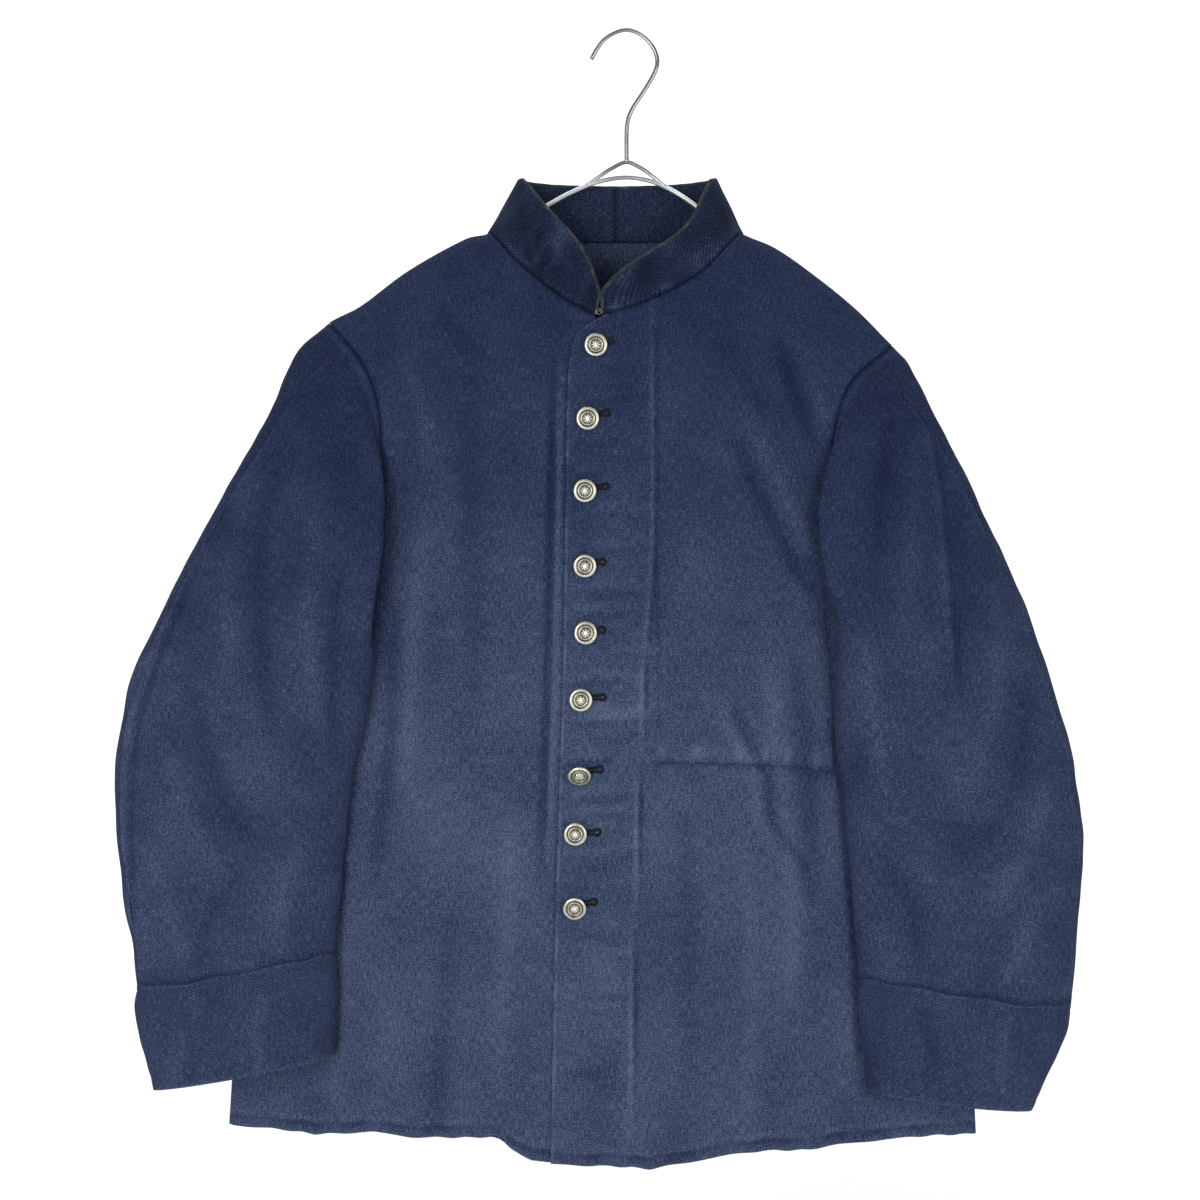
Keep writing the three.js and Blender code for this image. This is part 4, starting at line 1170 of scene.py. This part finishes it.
def collar_grid(turns, heights, inset, out):
    """Points of the collar or of its facing, and the height of their unevenness."""
    u, v = np.meshgrid(turns, heights)
    plain = collar(u, v)
    normal = normals(plain, out)
    relief = uneven(plain, *COLLAR_UNEVEN)
    raised = relief * smooth(v / 0.15) * smooth((1 - v) / 0.1) - inset
    return plain + normal * raised[..., None], relief


def collar_wear(grid):
    """Uneven fading of the collar, most along its two long edges."""
    x = grid[..., 0]
    rubs = edge_wear_and_shade(grid, COLLAR_TOP_EDGE) + edge_ridge(grid, 4, 1.6, 0.25)
    return uneven(grid, *COLLAR_FADING) + rubs * (0.6 + 0.4 * wander(x, 4, 13))


def make_collar(material):
    slot = "dark_twill"
    grid, relief = collar_grid(COLLAR_TURNS, np.linspace(0, 1, COLLAR_ROWS), 0, BACKWARD)
    inner = grid - normals(grid, BACKWARD) * COLLAR_CLOTH
    # Painted light and shade of the creases, painted shade at the collar's foot, and wear
    tone = painted_crease_shading(relief) + edge_wear_and_shade(grid, COLLAR_FOOT_SHADE) + collar_wear(grid)
    shell("collar", grid, inner, cloth_lengths(grid), tone, material, slot)
    for side, turns, out in (
        ("right", COLLAR_TURNS[COLLAR_TURNS <= COLLAR_MIDDLE], -1.0),
        ("left", COLLAR_TURNS[COLLAR_TURNS >= COLLAR_MIDDLE], 1.0),
    ):
        turns = np.unique(np.append(turns, COLLAR_MIDDLE))
        heights = np.linspace(FACING_FOOT, 1, COLLAR_ROWS)
        outwards = np.array([out, 0, 0])
        grid, relief = collar_grid(turns, heights, COLLAR_CLOTH + SEAM, outwards)
        inner = grid - normals(grid, outwards) * COLLAR_CLOTH
        # Painted light and shade of the creases, and painted shade at the facings' feet and where they meet
        tone = painted_crease_shading(relief) + edge_wear_and_shade(grid, FACING_EDGE_SHADE[side])
        name = f"collar_facing_{side}"
        shell(name, grid, inner, cloth_lengths(grid), tone, material, slot, inside_painted_light=FACING_INSIDE_PAINTED_LIGHT)


def make_pocket(material):
    x, up = np.meshgrid(np.linspace(*POCKET_ACROSS, POCKET_POINTS), np.linspace(0, 1, POCKET_POINTS))
    foot = pocket_foot_z(x) - POCKET_BELOW
    z = foot + (POCKET_TOP - foot) * up
    face = on_front(x, z, True)
    normal = normals(face, FORWARD)
    outer = face - normal * (CLOTH + SEAM)
    inner = outer - normal * POCKET_CLOTH
    uv = np.stack([x, z], axis=-1)
    shell("inside_pocket", outer, inner, uv, np.zeros(x.shape), material, "dark_twill")


def ring_faces(rows, count):
    """Faces between rows of points that each go once round."""
    faces = []
    for j in range(rows - 1):
        for i in range(count):
            k = (i + 1) % count
            faces.append([j * count + i, j * count + k, (j + 1) * count + k, (j + 1) * count + i])
    return faces


def tube(points, radius, count):
    """Points and faces of a round bar along a line."""
    line = np.asarray(points, float)
    way = unit(np.gradient(line, axis=0))
    side = unit(np.cross(way[0], [0.3, 1.0, 0.2]))
    angles = np.linspace(0, 2 * math.pi, count, endpoint=False)
    radii = np.broadcast_to(radius, len(line))
    verts = []
    for p, w, size in zip(line, way, radii):
        side = unit(side - w * np.dot(side, w))
        other = np.cross(w, side)
        verts.append(p + size * (np.cos(angles)[:, None] * side + np.sin(angles)[:, None] * other))
    faces = ring_faces(len(line), count)
    end = (len(line) - 1) * count
    faces.append(list(range(count))[::-1])
    faces.append([end + i for i in range(count)])
    return np.concatenate(verts), faces


def joined(parts):
    """Several meshes as one list of points and faces."""
    verts, faces, start = [], [], 0
    for points, some in parts:
        verts.append(points)
        faces.extend([[start + i for i in face] for face in some])
        start += len(points)
    return np.concatenate(verts), faces


def curved(points, step):
    """A smooth line through points, with places about a step apart."""
    line = np.asarray(points, float)
    along = lengths_along(line, 0)
    return through(np.column_stack([along, line]))(np.linspace(0, along[-1], int(along[-1] / step) + 2))


def make_hanger(material):
    parts = []
    for rows in (HOOK, FORK, ARMS):
        line = curved([[x, 0, z] for x, z in rows], WIRE_STEP)
        parts.append(tube(line, WIRE_RADIUS, WIRE_SIDES))
    new_object("hanger_wire", *joined(parts), material, "wire", ["hanger"])


def binding_line():
    """The middle of the binding, just above the collar's top edge."""
    u = np.clip(COLLAR_TURNS, 0.02, 2.98)
    along = unit(collar(u + 0.02, 1.0) - collar(u - 0.02, 1.0))
    top = collar(COLLAR_TURNS, 1.0)
    normal = unit(np.cross(along, top - collar(COLLAR_TURNS, 0.9)))
    up = np.cross(normal, along)
    up *= np.where(up[:, 2:] < 0, -1, 1)
    middle = np.array([-8, -14, 0]) - top * np.array([1, 1, 0])
    inwards = normal * np.where(np.sum(normal * middle, axis=1, keepdims=True) < 0, -1, 1)
    line = top + up * BINDING_LIFT + inwards * (COLLAR_CLOTH + SEAM / 2)
    heights = np.linspace(0.05, 0.9, 9)
    right_end = collar(0.0, heights) + inwards[0] * COLLAR_CLOTH
    left_end = collar(COLLAR_END, heights[::-1]) + inwards[-1] * COLLAR_CLOTH
    return np.concatenate([right_end, line, left_end])


def make_binding(material):
    line = curved(binding_line(), BINDING_STEP)
    along = np.arange(len(line)) * BINDING_STEP
    radius = BINDING_RADIUS * (1 + 0.05 * np.sin(along / 2.1) + 0.04 * np.sin(along / 7.3))
    new_object("collar_binding_cord", *tube(line, radius, 14), material, "binding", ["collar_binding"])


def button_profile():
    """Radius and height of a domed button with a rolled rim and stepped rings."""
    rim = [[7.2 + 1.75 * math.cos(a), 2.75 + 1.3 * math.sin(a)] for a in np.linspace(-1.9, 2.6, 12)]
    rings = [[5.55, 3.25], [5.35, 3.6], [4.95, 3.75], [4.6, 3.6], [4.45, 3.45]]
    dome = [[4.1 * math.cos(a), 3.5 + 1.85 * math.sin(a)] for a in np.linspace(0.1, math.pi / 2, 9)]
    return [[r * BUTTON_SCALE, h] for r, h in rim + rings + dome]


def button_highlights_and_patina(r, lobes):
    """Painted highlights on the rim, the ring, the dome and the raised rosette, and dark patina in the two
    hollows between.
    """
    tone = 0.35 * bell(r - 8.3, 0.7) - 0.6 * bell(r - 6.0, 0.5)
    tone += 0.25 * bell(r - 4.95, 0.3) - 0.5 * bell(r - 4.25, 0.3)
    return tone + 0.3 * bell(r, 2) + 1.2 * lobes


def lathe(profile, count):
    """Points and faces of a profile turned once round."""
    rows = np.array(profile, float)
    angles = np.linspace(0, 2 * math.pi, count, endpoint=False)
    r, h = rows[:, :1], rows[:, 1:]
    verts = np.stack([r * np.cos(angles), r * np.sin(angles), np.repeat(h, count, 1)], axis=-1)
    return verts.reshape(-1, 3), ring_faces(len(rows), count)


def make_buttons(material):
    profile = button_profile()
    for number, (x, z, down, aside, *_) in enumerate(BUTTONS, 1):
        turn = math.radians(down)
        stand = BUTTON_RADIUS * math.sin(turn) * 0.6
        foot = (BUTTON_GAP + SHANK_RADIUS * math.sin(turn) - stand) / math.cos(turn)
        whole = [[0.01, foot], [SHANK_RADIUS, foot], [SHANK_RADIUS, 1.2], [6.2, 1.35], *profile]
        verts, faces = lathe(whole, BUTTON_SIDES)
        r = np.hypot(verts[:, 0], verts[:, 1]) / BUTTON_SCALE
        angle = np.arctan2(verts[:, 1], verts[:, 0])
        top = verts[:, 2] > 2.6
        lobes, beads = (
            height * np.cos(number_round * angle) * bell(r - middle, width) * top
            for middle, width, height, number_round in (ROSETTE, BEADS)
        )
        verts[:, 2] += lobes + beads
        verts = verts @ rotation_z(math.radians(aside)).T
        upright = np.stack([verts[:, 0], -verts[:, 2], verts[:, 1]], axis=1)
        tilted = upright @ rotation_x(turn).T
        place = on_front(np.array(float(x)), np.array(float(z)), True) + np.array([0, -stand, 0])
        nodes = [f"button_{number}"]
        face = new_object(f"button_face_{number}", tilted + place, faces, material, "button_metal", nodes)
        # Painted highlights and dark patina, by radius
        set_tone(face, button_highlights_and_patina(r, lobes))


def rotation_z(angle):
    c, s = math.cos(angle), math.sin(angle)
    return np.array([[c, -s, 0], [s, c, 0], [0, 0, 1.0]])


def rotation_x(angle):
    c, s = math.cos(angle), math.sin(angle)
    return np.array([[1.0, 0, 0], [0, c, -s], [0, s, c]])


def thread(start, end, normal, radius):
    """One short stitch that rises out of the cloth and dives back in."""
    share = np.linspace(0, 1, 4)[:, None]
    hump = np.sin(math.pi * share) * radius * 1.2 - radius * 0.5
    line = start + (end - start) * share + normal * hump
    return tube(line, radius * np.array([0.7, 1, 1, 0.7]), 5)


def sewn(points, normal, gap=STITCH_GAP, radius=THREAD_RADIUS):
    """A row of stitches along a line of points that lie on the cloth."""
    line = np.asarray(points, float)
    along = lengths_along(line, 0)

    def at(s):
        return np.array([np.interp(s, along, line[:, k]) for k in range(3)])

    def out(s):
        return unit(np.array([np.interp(s, along, normal[:, k]) for k in range(3)]))

    starts = np.arange(gap, along[-1] - STITCH, STITCH + gap)
    return [thread(at(s), at(s + STITCH), out(s + STITCH / 2), radius) for s in starts]


def on_left_front(points, step=1.5):
    """A line on the left front from points x z, with the cloth's normals."""
    line = curved([[x, 0, z] for x, z in points], step)
    return left_front_at(line[:, 0], line[:, 2])


def left_front_at(x, z):
    """Places on the left front's outer face, and the normals there."""
    place = on_front(x, z, True)
    nudge = 0.4
    dx = on_front(x + nudge, z, True) - on_front(x - nudge, z, True)
    dz = on_front(x, z + nudge, True) - on_front(x, z - nudge, True)
    normal = unit(np.cross(dx, dz))
    normal *= np.where(normal[:, 1:2] > 0, -1, 1)
    return place, normal


def surface_line(point, us, vs, out):
    """A line on any surface, with normals on the side that out names."""
    place = point(us, vs)
    nudge = 0.003
    du = point(us + nudge, vs) - point(us - nudge, vs)
    dv = point(us, vs + nudge) - point(us, vs - nudge)
    normal = unit(np.cross(du, dv))
    normal *= np.where(np.sum(normal * out, axis=1, keepdims=True) < 0, -1, 1)
    return place, normal


def make_stitches(material, dark_material, hem_lines):
    rows = []
    for line in (FACING_LINE, POCKET_SIDE):
        rows += sewn(*on_left_front(line))
    for hem in hem_lines:
        rows += sewn(*hem)
    levels = np.linspace(0.02, 4.7, 900)
    rows += sewn(*surface_line(front_left, np.full(levels.shape, LAP_STITCH), levels, FORWARD))
    for cuff in (RIGHT_CUFF, LEFT_CUFF):
        point = cuff_surface(cuff)
        for r in CUFF_STITCHES:
            for start, out in ((0.06, FORWARD), (1.06, BACKWARD)):
                turns = np.linspace(start, start + 0.88, 260)
                rows += sewn(*surface_line(point, turns, np.full(turns.shape, r), out))
    new_object("sewing_thread", *joined(rows), material, "twill")
    tight = []
    for line in (POCKET_FOOT, POCKET_END):
        tight += sewn(*on_left_front(line), POCKET_STITCH_GAP, POCKET_THREAD)
    new_object("pocket_thread", *joined(tight), dark_material, "twill")


def make_buttonholes(material):
    """Keyhole buttonholes: close stitches across a slit, round an eyelet at its end."""
    rows = []
    for x, z, _, _, dx, dz in BUTTONS:
        eye = np.array([x + dx, z + dz], float)
        start = np.array([x - 4, z + dz * 0.4])
        way = unit(eye - start)
        side = np.array([-way[1], way[0]])
        reach = np.linalg.norm(eye - start)
        stations = []
        for s in np.arange(0, reach - 1.4, 0.55):
            for sign in (1, -1):
                at = start + way * s
                stations.append((at + side * sign * 0.3, at + side * sign * 2.3))
        for angle in np.linspace(-2.4, 2.4, 19):
            spoke = way * math.cos(angle) + side * math.sin(angle)
            stations.append((eye + spoke * 1.1, eye + spoke * 3.3))
        ends = np.array(stations).reshape(-1, 2)
        place, normal = left_front_at(ends[:, 0], ends[:, 1])
        place = place + normal * 0.1
        pairs = zip(place[::2], place[1::2], normal[::2])
        rows += [thread(start, end, out, BUTTONHOLE_THREAD) for start, end, out in pairs]
    new_object("buttonhole_thread", *joined(rows), material, "dark_twill")


def make_collar_hook(material):
    """The wire hook and eye that close the foot of the collar."""
    centre = (collar(0.0, 0.1) + collar(COLLAR_END, 0.1)) / 2 + np.array([0, -2.5, 1.0])
    angles = np.linspace(0, 2 * math.pi, 33)
    loop = centre + 2.0 * np.stack([np.cos(angles), 0.5 + np.zeros(33), np.sin(angles)], axis=1)
    bend = np.linspace(-0.4, math.pi, 14)
    hook = centre + np.stack([1.1 + 1.1 * np.cos(bend), 0.4 - 0.2 * bend, 1.1 * np.sin(bend) - 0.5], axis=1)
    wires = joined([tube(line, HOOK_WIRE, 10) for line in (loop, hook)])
    new_object("collar_hook_wire", *wires, material, "wire", ["collar_hook"])


class Nodes:
    """Makes and links the shader nodes of one material."""

    def __init__(self, name):
        self.material = bpy.data.materials.new(name)
        self.material.use_nodes = True
        self.tree = self.material.node_tree
        self.shader = self.tree.nodes["Principled BSDF"]

    def make(self, kind, **values):
        node = self.tree.nodes.new(kind)
        for key, value in values.items():
            setattr(node, key, value)
        return node

    def link(self, source, target):
        self.tree.links.new(source, target)

    def feed(self, name, source):
        self.link(source, self.shader.inputs[name])

    def place(self):
        return self.make("ShaderNodeTexCoord").outputs["Object"]

    def tone(self):
        return self.make("ShaderNodeAttribute", attribute_name="tone").outputs["Fac"]

    def parts(self, vector_value):
        node = self.make("ShaderNodeSeparateXYZ")
        self.link(vector_value, node.inputs[0])
        return node.outputs

    def height_share(self, start, end):
        """0 at one height of the object, 1 at another, and even in between."""
        node = self.make("ShaderNodeMapRange")
        node.inputs["From Min"].default_value = start
        node.inputs["From Max"].default_value = end
        self.link(self.parts(self.place())[2], node.inputs["Value"])
        return node.outputs[0]

    def math(self, operation, a, b=0.0):
        node = self.make("ShaderNodeMath", operation=operation)
        for socket, value in zip(node.inputs, (a, b)):
            if isinstance(value, (int, float)):
                socket.default_value = value
            else:
                self.link(value, socket)
        return node.outputs[0]

    def noise(self, place, scale, detail=2.0, rough=0.5):
        node = self.make("ShaderNodeTexNoise")
        node.inputs["Scale"].default_value = scale
        node.inputs["Detail"].default_value = detail
        node.inputs["Roughness"].default_value = rough
        self.link(place, node.inputs["Vector"])
        return node.outputs["Fac"]

    def stretched(self, place, x, y, z=1.0):
        node = self.make("ShaderNodeMapping")
        node.inputs["Scale"].default_value = (x, y, z)
        self.link(place, node.inputs["Vector"])
        return node.outputs[0]

    def ramp(self, value, *stops):
        node = self.make("ShaderNodeValToRGB")
        elements = node.color_ramp.elements
        while len(elements) < len(stops):
            elements.new(0.5)
        for element, (position, colour) in zip(elements, stops):
            element.position = position
            element.color = (*colour, 1)
        self.link(value, node.inputs["Fac"])
        return node.outputs["Color"]

    def bump(self, height, distance, strength=1.0):
        node = self.make("ShaderNodeBump")
        node.inputs["Distance"].default_value = distance
        node.inputs["Strength"].default_value = strength
        self.link(height, node.inputs["Height"])
        self.feed("Normal", node.outputs[0])

    def set(self, **values):
        for key, value in values.items():
            self.shader.inputs[key.replace("_", " ")].default_value = value


def twill(name, dark, middle, pale, fade):
    """Worn indigo twill: fine diagonal ribs, upright slubs, cloudy fading, rubbed edges with the painted
    light and shade of the tone attribute, and cloth paler low down, partly from fading and partly as
    painted light and shade.
    """
    n = Nodes(name)
    weave = n.make("ShaderNodeUVMap", uv_map="weave").outputs[0]
    across, up = n.parts(weave)[:2]
    slub = n.noise(n.stretched(weave, 1100, 150), 1.0, 2.0, 0.6)
    weft = n.noise(n.stretched(weave, 240, 1000), 1.0, 2.0, 0.6)
    grain = n.noise(n.stretched(weave, 600, 600), 1.0, 3.0, 0.65)
    cloud = n.noise(weave, 14.0, 3.0, 0.55)
    patchy = n.noise(weave, 70.0, 3.0, 0.6)
    stripe = n.math("PINGPONG", across, RIB_RUN)
    slant = n.math("ADD", n.math("MULTIPLY", stripe, RIB_SLOPE), up)
    wobble = n.math("MULTIPLY", grain, RIB_WOBBLE)
    rib = n.math("SINE", n.math("MULTIPLY", n.math("ADD", slant, wobble), 2 * math.pi / RIB_SPACING))
    # Paler towards the waist: partly fading, partly painted light and shade
    tone = n.math("MULTIPLY", n.height_share(FADE_AND_SHADE_TOP, FADE_AND_SHADE_FOOT), fade)
    for value, middle_value, weight in (
        (slub, 0.5, 1.0), (weft, 0.5, 0.55), (grain, 0.5, 1.0), (cloud, 0.5, 0.10), (patchy, 0.5, 0.07),
        (rib, 0.0, 0.13), (n.tone(), 0.0, 0.60),
    ):
        tone = n.math("ADD", tone, n.math("MULTIPLY", n.math("SUBTRACT", value, middle_value), weight))
    tone = n.math("ADD", tone, 0.38 - fade / 2)
    n.feed("Base Color", n.ramp(tone, (0.0, dark), (0.5, middle), (1.0, pale)))
    threads = n.math("ADD", slub, n.math("ADD", grain, weft))
    relief = n.math("ADD", n.math("MULTIPLY", rib, 0.28), threads)
    n.bump(relief, 0.00035, 0.75)
    n.set(Roughness=0.95, Sheen_Weight=0.02, Sheen_Roughness=0.5, Specular_IOR_Level=0.08)
    return n.material


def leather_binding():
    """Dull black leather, paler where it is rubbed."""
    n = Nodes("binding")
    place = n.place()
    grain = n.noise(place, 900.0, 3.0, 0.6)
    rubbed = n.noise(place, 160.0, 3.0, 0.6)
    tone = n.math("ADD", n.math("MULTIPLY", grain, 0.45), n.math("MULTIPLY", rubbed, 0.55))
    n.feed("Base Color", n.ramp(tone, *BINDING))
    n.bump(grain, 0.0003, 0.7)
    n.set(Roughness=0.75, Specular_IOR_Level=0.25)
    return n.material


def aged_metal():
    """Pewter-coloured metal, with painted highlights on its raised parts, dark patina in its hollows and
    uneven spots.
    """
    n = Nodes("button_metal")
    spots = n.noise(n.place(), 700.0, 4.0, 0.6)
    tone = n.math("ADD", n.math("ADD", n.tone(), 0.3), n.math("MULTIPLY", spots, 0.5))
    n.feed("Base Color", n.ramp(tone, *PEWTER))
    n.feed("Roughness", n.ramp(spots, (0.3, (0.28,) * 3), (0.7, (0.45,) * 3)))
    n.bump(spots, 0.0001, 0.5)
    n.set(Metallic=1.0)
    return n.material


def polished_wire(name, shine, low_shine):
    """Steel wire that is duller and darker high up, as painted shade, than on the arms that face the light.
    """
    n = Nodes(name)
    spots = n.noise(n.place(), 60.0, 2.0, 0.5)
    low = n.height_share(WIRE_SHADE_FOOT, WIRE_LIT_TOP)
    colour = n.make("ShaderNodeVectorMath", operation="SCALE")
    n.link(n.ramp(spots, *STEEL), colour.inputs[0])
    # Painted shade: the wire's colour is darker high up than on the arms
    strength = n.math("ADD", n.math("MULTIPLY", low, low_shine - shine), shine)
    n.link(strength, colour.inputs["Scale"])
    n.feed("Base Color", colour.outputs[0])
    n.feed("Roughness", n.ramp(spots, (0.3, (0.2,) * 3), (0.7, (0.28,) * 3)))
    metal = n.math("SUBTRACT", 1.0, n.math("MULTIPLY", low, (low_shine - shine) * WIRE_SATIN))
    n.feed("Metallic", metal)
    return n.material


def thread_finish(name, dark, pale):
    n = Nodes(name)
    strands = n.noise(n.place(), 1500.0, 2.0, 0.6)
    n.feed("Base Color", n.ramp(strands, (0.3, dark), (0.7, pale)))
    n.bump(strands, 0.0002, 0.6)
    n.set(Roughness=0.8, Specular_IOR_Level=0.25)
    return n.material


def stage_finish():
    n = Nodes("pale_stage")
    n.feed("Base Color", n.ramp(n.noise(n.place(), 3.0), *STAGE_PALE))
    n.set(Roughness=0.9)
    return n.material


def make_stage():
    """A pale floor that curves up, far behind, into a backdrop."""
    angles = np.linspace(0.1, math.pi / 2, 16)
    profile = [[-STAGE_DEEP, FLOOR_Z], [STAGE_CURVE_START, FLOOR_Z]]
    for a in angles:
        back_by, up_by = STAGE_CURVE * math.sin(a), STAGE_CURVE * (1 - math.cos(a))
        profile.append([STAGE_CURVE_START + back_by, FLOOR_Z + up_by])
    profile += [[STAGE_CURVE_START + STAGE_CURVE, STAGE_TOP]]
    verts = [(x, y, z) for y, z in profile for x in (-STAGE_HALF, STAGE_HALF)]
    faces = [[2 * i, 2 * i + 1, 2 * i + 3, 2 * i + 2] for i in range(len(profile) - 1)]
    mesh = bpy.data.meshes.new("floor")
    mesh.from_pydata(verts, [], faces)
    mesh.polygons.foreach_set("use_smooth", [True] * len(mesh.polygons))
    mesh.materials.append(stage_finish())
    floor = placed("floor", mesh)


def area_light(name, place, target, size, watts):
    light = bpy.data.lights.new(name, "AREA")
    light.energy, light.size = watts, size
    lamp = placed(name, light)
    lamp.location = place
    way = np.array(target, float) - np.array(place, float)
    flat = math.hypot(way[0], way[1])
    lamp.rotation_euler = (math.atan2(flat, -way[2]), 0, math.atan2(-way[0], way[1]))


def make_lights():
    for row in LIGHTS:
        area_light(*row)
    world = bpy.data.worlds.new("studio")
    world.use_nodes = True
    background = world.node_tree.nodes["Background"]
    background.inputs["Color"].default_value = (1, 1, 1, 1)
    background.inputs["Strength"].default_value = SKY
    bpy.context.scene.world = world
    bpy.context.scene.view_settings.view_transform = "Standard"


def make_camera():
    data = bpy.data.cameras.new("camera")
    data.sensor_fit = "HORIZONTAL"
    data.angle = 2 * math.atan(VIEW_WIDTH / 2 / -CAMERA_PLACE[1])
    camera = placed("camera", data)
    camera.location = CAMERA_PLACE
    camera.rotation_euler = (math.pi / 2, 0, 0)
    bpy.context.scene.camera = camera


def build():
    make_camera()
    blue = twill("twill", *BLUE)
    deep_blue = twill("dark_twill", *DEEP_BLUE)
    wire = polished_wire("wire", *WIRE_SHADED_AND_LIT)
    hem_lines = make_fronts(blue)
    hem_lines.append(make_back(blue))
    make_sleeves(blue)
    make_cuffs(blue)
    make_collar(deep_blue)
    make_pocket(deep_blue)
    make_binding(leather_binding())
    make_buttons(aged_metal())
    blue_thread = thread_finish("blue_thread", *BLUE_THREAD)
    dark_thread = thread_finish("dark_thread", *DARK_THREAD)
    make_stitches(blue_thread, dark_thread, hem_lines)
    make_buttonholes(thread_finish("black_thread", *BLACK_THREAD))
    make_collar_hook(polished_wire("dull_wire", *HOOK_SHINE))
    make_hanger(wire)
    make_stage()
    make_lights()


build()
